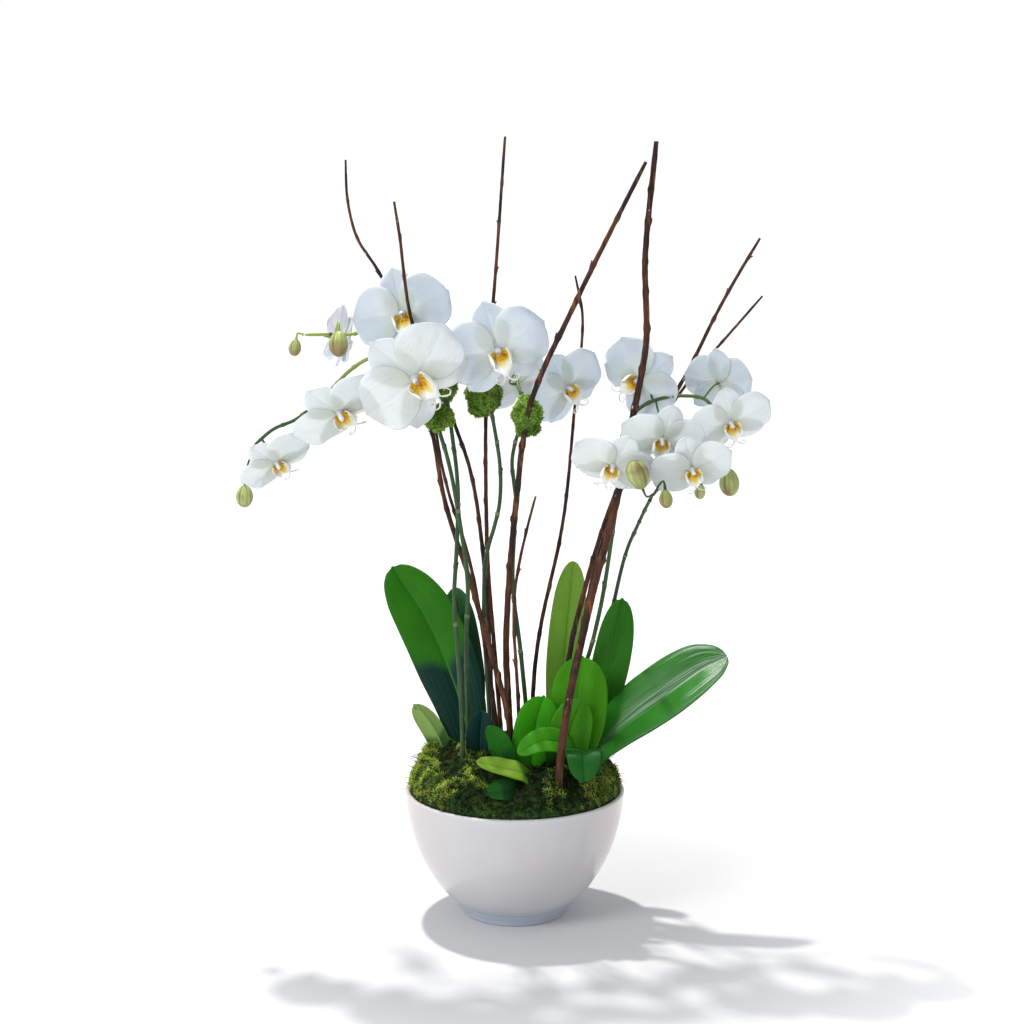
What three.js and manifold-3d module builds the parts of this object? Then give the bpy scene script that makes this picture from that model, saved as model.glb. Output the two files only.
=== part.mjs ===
// A potted arrangement of white moth orchids: a glazed bowl filled with bark and moss, strap leaves,
// arching flower spikes with blossoms and buds, and bare twigs. Millimetres, +Z up, origin at the
// middle of the bowl's underside.
import * as THREE from "three";
import { mergeVertices } from "three/addons/utils/BufferGeometryUtils.js";
import Module from "manifold-3d";

const wasm = await Module();
wasm.setup();

// ---------------------------------------------------------------- driving dimensions
const BOWL = { rim: 115, height: 134, foot: 55, footTop: 60.5, footHeight: 13, wall: 5.5, floor: 12, segments: 36 };
const BARK_TOP = 118; // level of the bark inside the bowl
const MOSS = { radius: 107.5, overRim: 111, underside: 118.6, rimLevel: 139, crown: 174, lump: 7 };
const GAP = 0.4; // clearance round a stem where it stands in bark or moss
const ROOTED = 128; // level where leaves and flower spikes start, inside the moss
const TWIG_END = 101; // level of the twigs' lower ends, inside the bark

const BLOOM = {
  petal: { length: 50, halfWidth: 29, angle: 12 },
  dorsal: { length: 47, halfWidth: 16 },
  lateral: { length: 45, halfWidth: 14.5, angle: 52 },
  lip: { length: 22, halfWidth: 7.5 },
  thickness: 0.8,
  neck: 3, // how far behind the face plane the stalk joins the flower
  straight: 6, // length of the stalk's straight stretch behind the flower
};
const STALK_RADIUS = 1.5;
const BUD = { length: 25, radius: 10 };

const COLOURS = {
  ceramic: 0xd9d6d8, bark: 0x4a3423, moss: 0x55761f, leaf: 0x2f7d1c, spike: 0x4f7a34,
  twig: 0x5a3526, petal: 0xf2f3f4, bud: 0xb9c46a,
};

// ---------------------------------------------------------------- small helpers
const vec = (p) => new THREE.Vector3(...p);
const smooth = THREE.MathUtils.smoothstep;
const mix = THREE.MathUtils.lerp;
const curveThrough = (points) => new THREE.CatmullRomCurve3(points.map(vec), false, "centripetal");

function material(name, roughness) {
  return new THREE.MeshStandardMaterial({ color: COLOURS[name], roughness, metalness: 0 });
}

function solid(geometry) {
  const bare = geometry.clone();
  bare.deleteAttribute("normal");
  bare.deleteAttribute("uv");
  const merged = mergeVertices(bare, 1e-3);
  return new wasm.Manifold(new wasm.Mesh({
    numProp: 3,
    vertProperties: Float32Array.from(merged.attributes.position.array),
    triVerts: Uint32Array.from(merged.index.array),
  }));
}

function toGeometry(body) {
  const mesh = body.getMesh();
  const geometry = new THREE.BufferGeometry();
  geometry.setAttribute("position", new THREE.BufferAttribute(mesh.vertProperties, 3));
  geometry.setIndex(new THREE.BufferAttribute(mesh.triVerts, 1));
  geometry.computeVertexNormals();
  return geometry;
}

const object = new THREE.Group();

function addNode(name, body, finish) {
  const mesh = new THREE.Mesh(toGeometry(body), finish);
  mesh.name = name;
  object.add(mesh);
}

// ---------------------------------------------------------------- sweeping a section along a curve
function polygon(sides) {
  const corners = [];
  for (let i = 0; i < sides; i++) {
    const angle = (2 * Math.PI * i) / sides;
    corners.push(new THREE.Vector2(Math.cos(angle), Math.sin(angle)));
  }
  return new THREE.Shape(corners);
}

// a flat lens with its two edges at x = -1 and 1, and its faces at y = -1 and 1
function lens(stripes) {
  const corners = [];
  for (let i = 0; i <= stripes; i++) corners.push(new THREE.Vector2(mix(-1, 1, i / stripes), -1));
  for (let i = stripes; i >= 0; i--) corners.push(new THREE.Vector2(mix(-1, 1, i / stripes), 1));
  corners[0].y = 0;
  corners[stripes].y = 0;
  corners.splice(stripes + 1, 1);
  corners.pop();
  return new THREE.Shape(corners);
}

// Extrudes a unit section in even steps and bends it along the curve. place(x, y, u) says how far a
// point of the section lies to the side and off the face at the share u of the curve's length.
function sweep(section, curve, steps, side, place, spread = (u) => u) {
  const geometry = new THREE.ExtrudeGeometry(section, { depth: 1, steps, bevelEnabled: false });
  const position = geometry.attributes.position;
  const stations = [];
  for (let i = 0; i <= steps; i++) {
    const u = spread(i / steps);
    const along = curve.getTangentAt(u);
    const across = side.clone().addScaledVector(along, -side.dot(along)).normalize();
    stations.push({ u, at: curve.getPointAt(u), across, off: along.clone().cross(across) });
  }
  for (let i = 0; i < position.count; i++) {
    const station = stations[Math.round(position.getZ(i) * steps)];
    const [aside, lift] = place(position.getX(i), position.getY(i), station.u);
    const point = station.at.clone().addScaledVector(station.across, aside);
    point.addScaledVector(station.off, lift);
    position.setXYZ(i, point.x, point.y, point.z);
  }
  return solid(geometry);
}

const DEPTHWARDS = new THREE.Vector3(0, 1, 0);

function tube(curve, steps, sides, radiusAt, grow = 0) {
  const place = (x, y, u) => [x * (radiusAt(u) + grow), y * (radiusAt(u) + grow)];
  return sweep(polygon(sides), curve, steps, DEPTHWARDS, place);
}

// ---------------------------------------------------------------- bowl and filling
function bowlWall() {
  return new THREE.SplineCurve([
    [63, 14.5], [77.5, 29], [91.5, 50], [103, 75], [111.2, 104], [BOWL.rim, BOWL.height - 2],
  ].map(([r, z]) => new THREE.Vector2(r, z))).getPoints(5);
}

function lathe(profile, segments) {
  return solid(new THREE.LatheGeometry(profile, segments).rotateX(Math.PI / 2));
}

function bowl() {
  const outside = bowlWall();
  const inside = outside.map((p) => new THREE.Vector2(p.x - BOWL.wall, Math.max(p.y, BOWL.floor)));
  const profile = [
    new THREE.Vector2(0, 0), new THREE.Vector2(BOWL.foot - 1.5, 0), new THREE.Vector2(BOWL.foot, 1.5),
    new THREE.Vector2(BOWL.footTop, BOWL.footHeight), ...outside,
    new THREE.Vector2(BOWL.rim - BOWL.wall / 2, BOWL.height), ...inside.reverse(),
    new THREE.Vector2(40, BOWL.floor), new THREE.Vector2(0, BOWL.floor),
  ];
  return lathe(profile, BOWL.segments);
}

function bark() {
  const play = 0.7;
  const side = bowlWall().filter((p) => p.y < BARK_TOP - 3);
  const edge = side[side.length - 1];
  const profile = [new THREE.Vector2(0, BOWL.floor + play), new THREE.Vector2(40, BOWL.floor + play)];
  for (const p of side) profile.push(new THREE.Vector2(p.x - BOWL.wall - play, p.y + play));
  profile.push(new THREE.Vector2(edge.x - BOWL.wall - play, BARK_TOP), new THREE.Vector2(0, BARK_TOP));
  return lathe(profile, 24);
}

// height of the moss above its even dome, in cushions of two sizes
function mossLump(x, y) {
  const broad = Math.sin(x / 17 + 1.2) * Math.cos(y / 15 - 0.4);
  const fine = Math.sin(x / 8 - y / 11) * Math.cos(y / 7 + x / 13);
  return MOSS.lump * (0.75 * broad + 0.35 * fine);
}

function mossMound() {
  const under = MOSS.underside;
  const profile = [new THREE.Vector2(0, under), new THREE.Vector2(MOSS.radius - 3.5, under)];
  profile.push(new THREE.Vector2(MOSS.radius - 1.2, BOWL.height), new THREE.Vector2(MOSS.overRim, MOSS.rimLevel));
  for (const share of [0.96, 0.87, 0.7, 0.5, 0.25, 0]) {
    const rise = Math.sqrt(1 - share ** 2.6);
    profile.push(new THREE.Vector2(MOSS.overRim * share, mix(MOSS.rimLevel + 2, MOSS.crown, rise)));
  }
  const dome = new THREE.LatheGeometry(profile, 26).rotateX(Math.PI / 2);
  const position = dome.attributes.position;
  for (let i = 0; i < position.count; i++) {
    const level = position.getZ(i);
    const share = smooth(level, MOSS.rimLevel, MOSS.rimLevel + 10);
    position.setZ(i, level + share * mossLump(position.getX(i), position.getY(i)));
  }
  return solid(dome);
}

// ---------------------------------------------------------------- twigs
// points from the cut lower end to the tip, then the radii there
const TWIGS = [
  { name: "twig_left_long", radii: [3.4, 1.3], points: [[-2, -32, TWIG_END], [-6, -30, 212],
    [-14, -28, 247], [-43, -22, 350], [-72, -17, 444], [-84, -12, 514], [-105, 28, 594],
    [-136, 50, 662], [-168, 58, 717], [-174, 60, 784]] },
  { name: "twig_left_behind", radii: [2.6, 1.4], points: [[-15, 0, TWIG_END], [-19, 5, 195],
    [-29, 10, 269], [-47, 15, 373], [-73, 20, 461], [-88, 42, 546]] },
  { name: "twig_left_short", radii: [2.6, 1.5], points: [[-22, 44, TWIG_END], [-26, 40, 256],
    [-33, 32, 373], [-46, 32, 464], [-72, 20, 540], [-93, -10, 591], [-106, -26, 638],
    [-114, -26, 705], [-120, -26, 745]] },
  { name: "twig_middle", radii: [2.6, 1.5], points: [[-8, 22, TWIG_END], [-21, 22, 273],
    [-28, 8, 372], [-30, 2, 506], [-29, 12, 551], [-26, 24, 596], [-21, 28, 656], [-10, 30, 808]] },
  { name: "twig_upright", radii: [4.4, 2.8], points: [[42, -84, TWIG_END], [46, -74, 184],
    [54, -58, 238], [65, -38, 287], [84, -25, 366], [100, -20, 426], [108, -20, 465],
    [119, -20, 528], [132, -20, 604], [130, -20, 686], [140, -20, 804]] },
  { name: "twig_slanted", radii: [3.8, 2.2], points: [[0, 5, TWIG_END], [-6, 5, 212],
    [-9, -5, 294], [1, -20, 438], [16, -37, 546], [47, -46, 619], [79, -46, 686], [129, -34, 784]] },
  { name: "twig_back", radii: [2.6, 1.3], points: [[22, 22, TWIG_END], [19, 30, 219],
    [25, 40, 285], [51, 60, 408], [63, 70, 530], [71, 80, 618], [63, 80, 664]] },
  { name: "twig_right_long", radii: [3.2, 1.6], points: [[44, 3, TWIG_END], [57, 10, 274],
    [69, 20, 327], [110, 30, 454], [173, 60, 552], [215, 62, 637], [253, 60, 704]] },
  { name: "twig_right_behind", radii: [2.8, 1.3], points: [[52, 30, TWIG_END], [63, 38, 241],
    [77, 44, 325], [99, 50, 413], [132, 70, 476], [177, 84, 544], [260, 90, 642]] },
  { name: "twig_stub", radii: [2.3, 1.3], points: [[5, -22, TWIG_END], [4, -24, 219],
    [-1, -25, 336], [6, -30, 388], [21, -30, 449]] },
];

function twig({ points, radii }, grow = 0) {
  const curve = curveThrough(points);
  const steps = Math.min(18, 2 * points.length);
  return tube(curve, steps, 5, (u) => mix(radii[0], radii[1], u), grow);
}

// ---------------------------------------------------------------- flower spikes
const SPIKES = [
  { name: "flower_spike_left_low", points: [[-50, -2, ROOTED], [-49, -5, 185], [-50, -25, 301],
    [-48, -38, 361], [-54, -40, 413], [-66, -40, 482], [-77, -32, 520], [-83, -36, 551],
    [-101, -34, 579], [-127, -27, 593], [-158, -17, 582], [-188, -12, 554], [-219, -12, 527],
    [-244, -14, 516], [-264, -17, 500]] },
  { name: "flower_spike_left_high", points: [[-56, -28, ROOTED], [-54, -30, 191], [-59, -35, 298],
    [-62, -35, 339], [-59, -30, 401], [-58, -25, 458], [-64, -22, 514], [-70, -12, 554],
    [-78, 4, 593], [-102, 18, 617], [-133, 20, 620], [-158, 20, 610], [-189, 15, 609],
    [-214, 10, 609]] },
  { name: "flower_spike_middle", points: [[-28, 28, ROOTED], [-26, 26, 182], [-32, 20, 300],
    [-32, 8, 346], [-30, -6, 381], [-22, -12, 411], [-16, -14, 437], [-15, -15, 475],
    [-23, -17, 530], [-27, -8, 554], [-35, 8, 581], [-48, 22, 602]] },
  { name: "flower_spike_front", points: [[15, 8, ROOTED], [14, 8, 186], [6, 4, 279],
    [-2, 6, 348], [-1, 4, 396], [1, 2, 441], [-3, -5, 479], [4, -9, 515], [11, -12, 534],
    [5, 2, 552], [2, 26, 568], [12, 44, 580]] },
  { name: "flower_spike_right_behind", points: [[70, 62, ROOTED], [80, 62, 186], [96, 60, 266],
    [106, 54, 326], [116, 30, 379], [126, -10, 416], [133, -48, 443], [137, -66, 456]] },
  { name: "flower_spike_right", points: [[60, 22, ROOTED], [66, 20, 234], [78, 16, 275],
    [90, 8, 331], [99, -2, 396], [106, 0, 453], [106, 10, 481], [112, 20, 509], [130, 24, 533],
    [160, 22, 544], [195, 16, 542], [207, 6, 526], [212, 4, 506], [208, 2, 484]] },
];
const spikeRadius = (u) => mix(2.5, 1.7, u);

function spike({ points }, grow = 0) {
  return tube(curveThrough(points), Math.round(points.length * 1.8), 6, spikeRadius, grow);
}

// a stalk from behind a flower or bud to the nearest point of its spike, ending just clear of it
function stalkCurve(neck, back, spikeName) {
  const carrier = curveThrough(SPIKES.find((s) => s.name === spikeName).points);
  const aim = neck.clone().addScaledVector(back, 18);
  let root = carrier.getPointAt(1);
  const samples = 200;
  const startShare = 0.6; // blossoms are only carried on a spike's upper part
  for (let i = 0; i <= samples; i++) {
    const point = carrier.getPointAt(mix(startShare, 1, i / samples));
    if (point.distanceTo(aim) < root.distanceTo(aim)) root = point;
  }
  const bend = neck.clone().addScaledVector(back, BLOOM.straight);
  const toFlower = bend.clone().sub(root).normalize();
  const end = root.clone().addScaledVector(toFlower, spikeRadius(startShare) + GAP);
  const reach = bend.distanceTo(end) * 0.4;
  const path = new THREE.CurvePath();
  path.add(new THREE.LineCurve3(neck, bend));
  path.add(new THREE.CubicBezierCurve3(bend, bend.clone().addScaledVector(back, reach),
    end.clone().addScaledVector(toFlower, reach * 0.5), end));
  return path;
}

// two steps on the stalk's straight stretch and the others on its bend
function stalk(neck, back, spikeName) {
  const path = stalkCurve(neck, back, spikeName);
  const steps = 7;
  const straightSteps = 2 / steps;
  const straightShare = BLOOM.straight / path.getLength();
  const spread = (u) => (u < straightSteps ? (u / straightSteps) * straightShare
    : mix(straightShare, 1, (u - straightSteps) / (1 - straightSteps)));
  const place = (x, y) => [x * STALK_RADIUS, y * STALK_RADIUS];
  const side = Math.abs(back.y) > 0.8 ? new THREE.Vector3(1, 0, 0) : DEPTHWARDS;
  return sweep(polygon(4), path, steps, side, place, spread);
}

// ---------------------------------------------------------------- blossoms
// where each flower's middle is, which way it faces (degrees to the right of straight ahead, and
// below the level), how far it leans over to its left, its size against the standard one, and the
// spike that carries it
const LOW = "flower_spike_left_low";
const HIGH = "flower_spike_left_high";
const MIDDLE = "flower_spike_middle";
const FRONT = "flower_spike_front";
const REAR = "flower_spike_right_behind";
const RIGHT = "flower_spike_right";
const BLOSSOMS = [
  { at: [-241, -34, 486], right: 34, down: 40, lean: 58, size: 0.84, spike: LOW },
  { at: [-176, -54, 540], right: 32, down: 40, lean: 58, size: 1.04, spike: LOW },
  { at: [-98, -68, 574], right: 10, down: 12, lean: 54, size: 1.22, spike: LOW },
  { at: [-113, -2, 630], right: -4, down: -4, lean: 16, size: 1.04, spike: HIGH },
  { at: [-184, 63, 600], right: 112, down: 10, lean: 8, size: 0.82, spike: HIGH },
  { at: [-17, -36, 597], right: 8, down: 4, lean: 18, size: 1.1, spike: MIDDLE },
  { at: [53, 22, 554], right: 32, down: 14, lean: 36, size: 0.92, spike: FRONT },
  { at: [2, 73, 551], right: 140, down: 5, lean: 0, size: 0.85, spike: FRONT },
  { at: [128, 36, 560], right: -26, down: 8, lean: -56, size: 0.95, spike: RIGHT },
  { at: [147, -46, 511], right: 0, down: 34, lean: -12, size: 0.88, spike: RIGHT },
  { at: [98, -56, 486], right: -12, down: 36, lean: -28, size: 0.9, spike: RIGHT },
  { at: [176, -68, 484], right: 12, down: 30, lean: 18, size: 0.86, spike: REAR },
  { at: [211, 40, 556], right: 150, down: -5, lean: 0, size: 0.78, spike: RIGHT },
  { at: [218, -17, 524], right: 14, down: 30, lean: 20, size: 0.9, spike: RIGHT },
];

function facing({ right, down }) {
  const [yaw, pitch] = [right, down].map(THREE.MathUtils.degToRad);
  const level = Math.cos(pitch);
  return new THREE.Vector3(Math.sin(yaw) * level, -Math.cos(yaw) * level, -Math.sin(pitch));
}

// places a flower built facing +Z with its back sepal along +Y
function flowerMatrix(blossom) {
  const ahead = facing(blossom);
  const up = new THREE.Vector3(0, 0, 1);
  up.addScaledVector(ahead, -ahead.z).normalize();
  up.applyAxisAngle(ahead, THREE.MathUtils.degToRad(blossom.lean));
  const matrix = new THREE.Matrix4().makeBasis(up.clone().cross(ahead), up, ahead);
  matrix.scale(new THREE.Vector3(blossom.size, blossom.size, blossom.size));
  return matrix.setPosition(...blossom.at);
}

// one petal or sepal: a round-ended blade on a narrow claw, leaving the middle at an angle
function tepal({ length, halfWidth }, degrees, level, curl, steps) {
  const angle = THREE.MathUtils.degToRad(degrees);
  const out = new THREE.Vector3(Math.cos(angle), Math.sin(angle), 0);
  const at = (share, lift) => out.clone().multiplyScalar(length * share).setZ(level + lift);
  const curve = new THREE.QuadraticBezierCurve3(at(0.08, 0), at(0.55, 0.4 * curl), at(1, -curl));
  const claw = 0.13;
  const outline = (u) => Math.max(claw, Math.sqrt(Math.max(0, 1 - ((u - 0.56) / 0.445) ** 2)));
  const hollow = 0.12;
  const place = (x, y, u) => {
    const aside = x * halfWidth * outline(u);
    return [aside, y * BLOOM.thickness + hollow * Math.abs(aside)];
  };
  const across = new THREE.Vector3(Math.sin(angle), -Math.cos(angle), 0);
  return sweep(lens(2), curve, steps, across, place);
}

function lip() {
  const { length, halfWidth } = BLOOM.lip;
  const across = new THREE.Vector3(1, 0, 0);
  const tongue = new THREE.QuadraticBezierCurve3(
    vec([0, -2, 1]), vec([0, -length * 0.45, 9]), vec([0, -length, 7]));
  const blade = (x, y, u) => [x * halfWidth * mix(0.45, 1, smooth(u, 0, 0.5)) * mix(1, 0.4, smooth(u, 0.6, 1)), y];
  let body = sweep(lens(2), tongue, 3, across.clone().negate(), blade);
  for (const hand of [-1, 1]) {
    const lobe = new THREE.QuadraticBezierCurve3(
      vec([hand * 3, -4, 1]), vec([hand * 9, -5, 6]), vec([hand * 9, 0, 15]));
    const side = (x, y, u) => [x * mix(2, 5, smooth(u, 0, 0.7)), y];
    body = body.add(sweep(lens(2), lobe, 2, new THREE.Vector3(0, 1, 0), side));
  }
  return body;
}

// the flower's middle, which the petals leave, with the column standing on it
function column() {
  const hubAxis = new THREE.LineCurve3(vec([0, 0, -BLOOM.neck - 1]), vec([0, 0, 2.4]));
  const hub = sweep(polygon(6), hubAxis, 1, new THREE.Vector3(1, 0, 0), (x, y) => [x * 5.5, y * 5.5]);
  const axis = new THREE.LineCurve3(vec([0, 0.5, 0]), vec([0, 1.5, 9]));
  const place = (x, y, u) => [x * mix(4, 3, u), y * mix(4, 3, u)];
  return hub.add(sweep(polygon(5), axis, 1, new THREE.Vector3(1, 0, 0), place));
}

function transformed(body, matrix) {
  return body.transform(matrix.elements);
}

function blossom(data) {
  const { petal, dorsal, lateral } = BLOOM;
  const parts = [
    tepal(dorsal, 90, -1, 5, 4),
    tepal(lateral, 270 - lateral.angle, -1.2, 6, 4),
    tepal(lateral, 270 + lateral.angle, -1.2, 6, 4),
    tepal(petal, petal.angle, 0.6, 5, 5),
    tepal(petal, 180 - petal.angle, 0.6, 5, 5),
    lip(),
    column(),
  ];
  const flower = transformed(parts.reduce((whole, part) => whole.add(part)), flowerMatrix(data));
  const back = facing(data).negate();
  const neck = vec(data.at).addScaledVector(back, BLOOM.neck * data.size);
  return flower.add(stalk(neck, back, data.spike));
}

// ---------------------------------------------------------------- buds
const BUDS = [
  { at: [-276, -12, 446], hang: [-0.05, 0, -1], size: 0.95, spike: LOW },
  { at: [-224, 8, 596], hang: [-0.15, -0.1, -1], size: 0.7, spike: HIGH },
  { at: [-177, -22, 603], hang: [0, -0.3, -0.95], size: 1.08, spike: HIGH },
  { at: [121, -86, 480], hang: [-0.35, -0.1, 0.93], size: 1.25, spike: REAR },
  { at: [149, -92, 457], hang: [0.1, -0.3, -1], size: 0.75, spike: REAR },
  { at: [188, -26, 453], hang: [-0.1, 0, -1], size: 0.62, spike: RIGHT },
  { at: [218, -22, 462], hang: [0.1, 0, -1], size: 1.15, spike: RIGHT },
];

function bud(data) {
  const hang = vec(data.hang).normalize();
  const back = hang.clone().negate();
  const outline = [];
  const stations = 6;
  for (let i = 0; i <= stations; i++) {
    const angle = (Math.PI * i) / stations;
    const fullness = 1 - 0.18 * Math.cos(angle);
    const radius = i === 0 || i === stations ? 0 : Math.sin(angle) * fullness;
    outline.push(new THREE.Vector2(BUD.radius * radius, -0.5 * BUD.length * Math.cos(angle)));
  }
  const shape = solid(new THREE.LatheGeometry(outline, 8));
  const turn = new THREE.Quaternion().setFromUnitVectors(new THREE.Vector3(0, 1, 0), back);
  const scale = new THREE.Vector3(data.size, data.size, data.size);
  const placed = transformed(shape, new THREE.Matrix4().compose(vec(data.at), turn, scale));
  const neck = vec(data.at).addScaledVector(back, (0.5 * BUD.length - 1.5) * data.size);
  return placed.add(stalk(neck, back, data.spike));
}

// ---------------------------------------------------------------- leaves
// midrib points from the base to the tip, the direction across the blade, the half width, and how
// far the halves fold up from the midrib
const LEAVES = [
  { name: "leaf_left_large", halfWidth: 33, base: 0.5, fold: 0.22, across: [-0.86, -0.1, -0.5],
    points: [[-42, 16, ROOTED], [-52, 28, 196], [-70, 42, 251], [-95, 52, 306], [-130, 58, 358]] },
  { name: "leaf_left_back", halfWidth: 20, fold: 0.2, across: [-1, 0, -0.2],
    points: [[-44, 46, ROOTED], [-48, 66, 206], [-58, 84, 276], [-64, 92, 328]] },
  { name: "leaf_left_small", halfWidth: 12, fold: 0.25, across: [0.5, 0.4, 0.8],
    points: [[-70, 8, ROOTED], [-76, 10, 171], [-88, 14, 196], [-106, 18, 218]] },
  { name: "leaf_left_inner", halfWidth: 15, fold: 0.35, across: [-1, 0, 0],
    points: [[-34, -14, ROOTED], [-36, -20, 181], [-34, -26, 224]] },
  { name: "leaf_right_upright", halfWidth: 19, fold: 0.3, across: [-1, 0, 0],
    points: [[38, 50, ROOTED], [48, 60, 216], [56, 66, 296], [62, 68, 362]] },
  { name: "leaf_right_dark", halfWidth: 20, fold: 0.3, across: [-0.9, 0, 0.2],
    points: [[78, 16, ROOTED], [90, 26, 211], [103, 34, 271], [113, 38, 328]] },
  { name: "leaf_front_upright", halfWidth: 30, fold: 0.3, across: [-1, 0, 0],
    points: [[52, -20, ROOTED], [60, -20, 186], [66, -14, 231], [70, -6, 276]] },
  { name: "leaf_young_bright", halfWidth: 19, fold: 0.25, across: [-1, -0.2, 0.1],
    points: [[14, -32, ROOTED], [17, -36, 171], [22, -35, 211], [30, -30, 240]] },
  { name: "leaf_front_right", halfWidth: 20, fold: 0.25, across: [-1, 0, 0.3],
    points: [[46, -34, ROOTED], [51, -37, 176], [58, -36, 211], [68, -32, 236]] },
  { name: "leaf_long_arching", halfWidth: 33, fold: 0.2, across: [-0.36, 0.7, 0.59],
    points: [[72, -8, ROOTED], [86, -8, 174], [120, -8, 210], [160, -6, 240], [195, -4, 264],
      [220, -2, 274]] },
  { name: "leaf_right_behind", halfWidth: 13, fold: 0.25, across: [0.4, 0.6, -0.5],
    points: [[84, 40, ROOTED], [98, 46, 176], [112, 46, 204], [126, 44, 220]] },
  { name: "leaf_front_left", halfWidth: 12, fold: 0.25, across: [0, -0.7, -0.7],
    points: [[52, -50, ROOTED], [58, -50, 172], [48, -54, 195], [28, -62, 201], [4, -70, 190]] },
  { name: "leaf_front_folded", halfWidth: 13, fold: 0.7, across: [0.9, -0.3, 0.3],
    points: [[-10, -46, ROOTED], [-12, -54, 171], [-18, -58, 196], [-28, -58, 214]] },
  { name: "leaf_front_low", halfWidth: 14, fold: 0.2, across: [-0.1, -0.95, -0.3],
    points: [[20, -62, ROOTED], [12, -74, 166], [-8, -84, 177], [-38, -90, 186]] },
  { name: "leaf_front_under", halfWidth: 13, fold: 0.2, across: [-0.1, -0.8, -0.6],
    points: [[8, -72, ROOTED], [2, -86, 154], [-10, -96, 160], [-28, -100, 158]] },
  { name: "leaf_front_drooping", halfWidth: 14, fold: 0.2, across: [1, 0, 0],
    points: [[76, -42, ROOTED], [73, -58, 184], [70, -74, 194], [70, -87, 166]] },
];

// share of the full width along a leaf: narrow where it clasps the stem, blunt at the tip
function leafOutline(u, base) {
  const widest = 0.6;
  if (u < widest) return mix(base, 1, smooth(u, 0, widest));
  return Math.max(0.03, 1 - ((u - widest) / (1 - widest)) ** 2.5) ** 0.5;
}

function leaf({ points, halfWidth, fold, across, base = 0.3 }, grow = 0) {
  const thickness = 1.1;
  const place = (x, y, u) => {
    const aside = x * (halfWidth * leafOutline(u, base) + grow);
    return [aside, y * (thickness + grow) + fold * Math.abs(aside)];
  };
  const towardsTip = (u) => 1 - (1 - u) ** 1.5;
  return sweep(lens(4), curveThrough(points), 8, vec(across).normalize(), place, towardsTip);
}

// ---------------------------------------------------------------- moss tied on the stems
const CLUMPS = [
  { at: [-71, -10, 559], half: [13, 14, 18] },
  { at: [-78, -27, 529], half: [17, 15, 15] },
  { at: [-31, -8, 547], half: [21, 18, 20] },
  { at: [13, -23, 530], half: [17, 18, 22] },
];

function mossClump({ at, half }) {
  const ball = new THREE.IcosahedronGeometry(1, 2);
  const position = ball.attributes.position;
  for (let i = 0; i < position.count; i++) {
    const p = new THREE.Vector3().fromBufferAttribute(position, i);
    const lump = 1 + 0.12 * Math.sin(5 * p.x + at[0]) * Math.cos(4 * p.y + 6 * p.z);
    p.multiply(vec(half)).multiplyScalar(lump).add(vec(at));
    position.setXYZ(i, p.x, p.y, p.z);
  }
  return solid(ball);
}

// ---------------------------------------------------------------- assembly
// a growth's solid, and the slightly larger and deeper pocket that it stands in
function growth(make, data, grow) {
  const [[x, y, z], ...rest] = data.points;
  const pocket = make({ ...data, points: [[x, y, z - 2 * GAP], ...rest] }, grow);
  return { name: data.name, body: make(data), pocket };
}

const twigs = TWIGS.map((data) => growth(twig, data, GAP));
const spikes = SPIKES.map((data) => growth(spike, data, GAP));
const leaves = LEAVES.map((data) => growth(leaf, data, 2.5 * GAP));
const stems = [...twigs, ...spikes];

// cuts a pocket for every stem or leaf that stands in the body
function withPockets(body, growths) {
  for (const { pocket } of growths) body = body.subtract(pocket);
  return body;
}

addNode("bowl", bowl(), material("ceramic", 0.2));
addNode("potting_bark", withPockets(bark(), twigs), material("bark", 0.95));
addNode("moss_mound", withPockets(mossMound(), [...stems, ...leaves]), material("moss", 1));
CLUMPS.forEach((data, i) => {
  addNode(`moss_clump_${i + 1}`, withPockets(mossClump(data), stems), material("moss", 1));
});
for (const { name, body } of leaves) addNode(name, body, material("leaf", 0.35));
for (const { name, body } of twigs) addNode(name, body, material("twig", 0.8));
for (const { name, body } of spikes) addNode(name, body, material("spike", 0.55));
BLOSSOMS.forEach((data, i) => addNode(`blossom_${i + 1}`, blossom(data), material("petal", 0.5)));
BUDS.forEach((data, i) => addNode(`bud_${i + 1}`, bud(data), material("bud", 0.5)));

export default object;
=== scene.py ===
"""Looks of a potted arrangement of white moth orchids, built around its fixed frame of named parts."""

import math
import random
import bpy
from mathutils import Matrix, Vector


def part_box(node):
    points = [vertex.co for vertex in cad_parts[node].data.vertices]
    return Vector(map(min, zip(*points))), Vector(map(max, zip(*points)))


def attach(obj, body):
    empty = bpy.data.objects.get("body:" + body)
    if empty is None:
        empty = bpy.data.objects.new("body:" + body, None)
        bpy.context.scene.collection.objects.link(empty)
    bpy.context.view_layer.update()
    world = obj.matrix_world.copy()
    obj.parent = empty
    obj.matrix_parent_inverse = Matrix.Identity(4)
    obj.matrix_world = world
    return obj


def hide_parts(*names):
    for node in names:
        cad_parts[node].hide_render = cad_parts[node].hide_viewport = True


bl_info = {
    "name": "Potted Moth Orchids",
    "version": (1, 0, 0),
    "blender": (4, 5, 0),
    "location": "3D View > Sidebar > Orchids",
    "description": "Builds a glazed bowl of white moth orchids with leaves, moss and bare twigs",
    "category": "Add Mesh",
}

import bmesh
import bpy
from bpy.props import FloatProperty, FloatVectorProperty, IntProperty, PointerProperty
from mathutils import Matrix, Vector, noise

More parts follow.
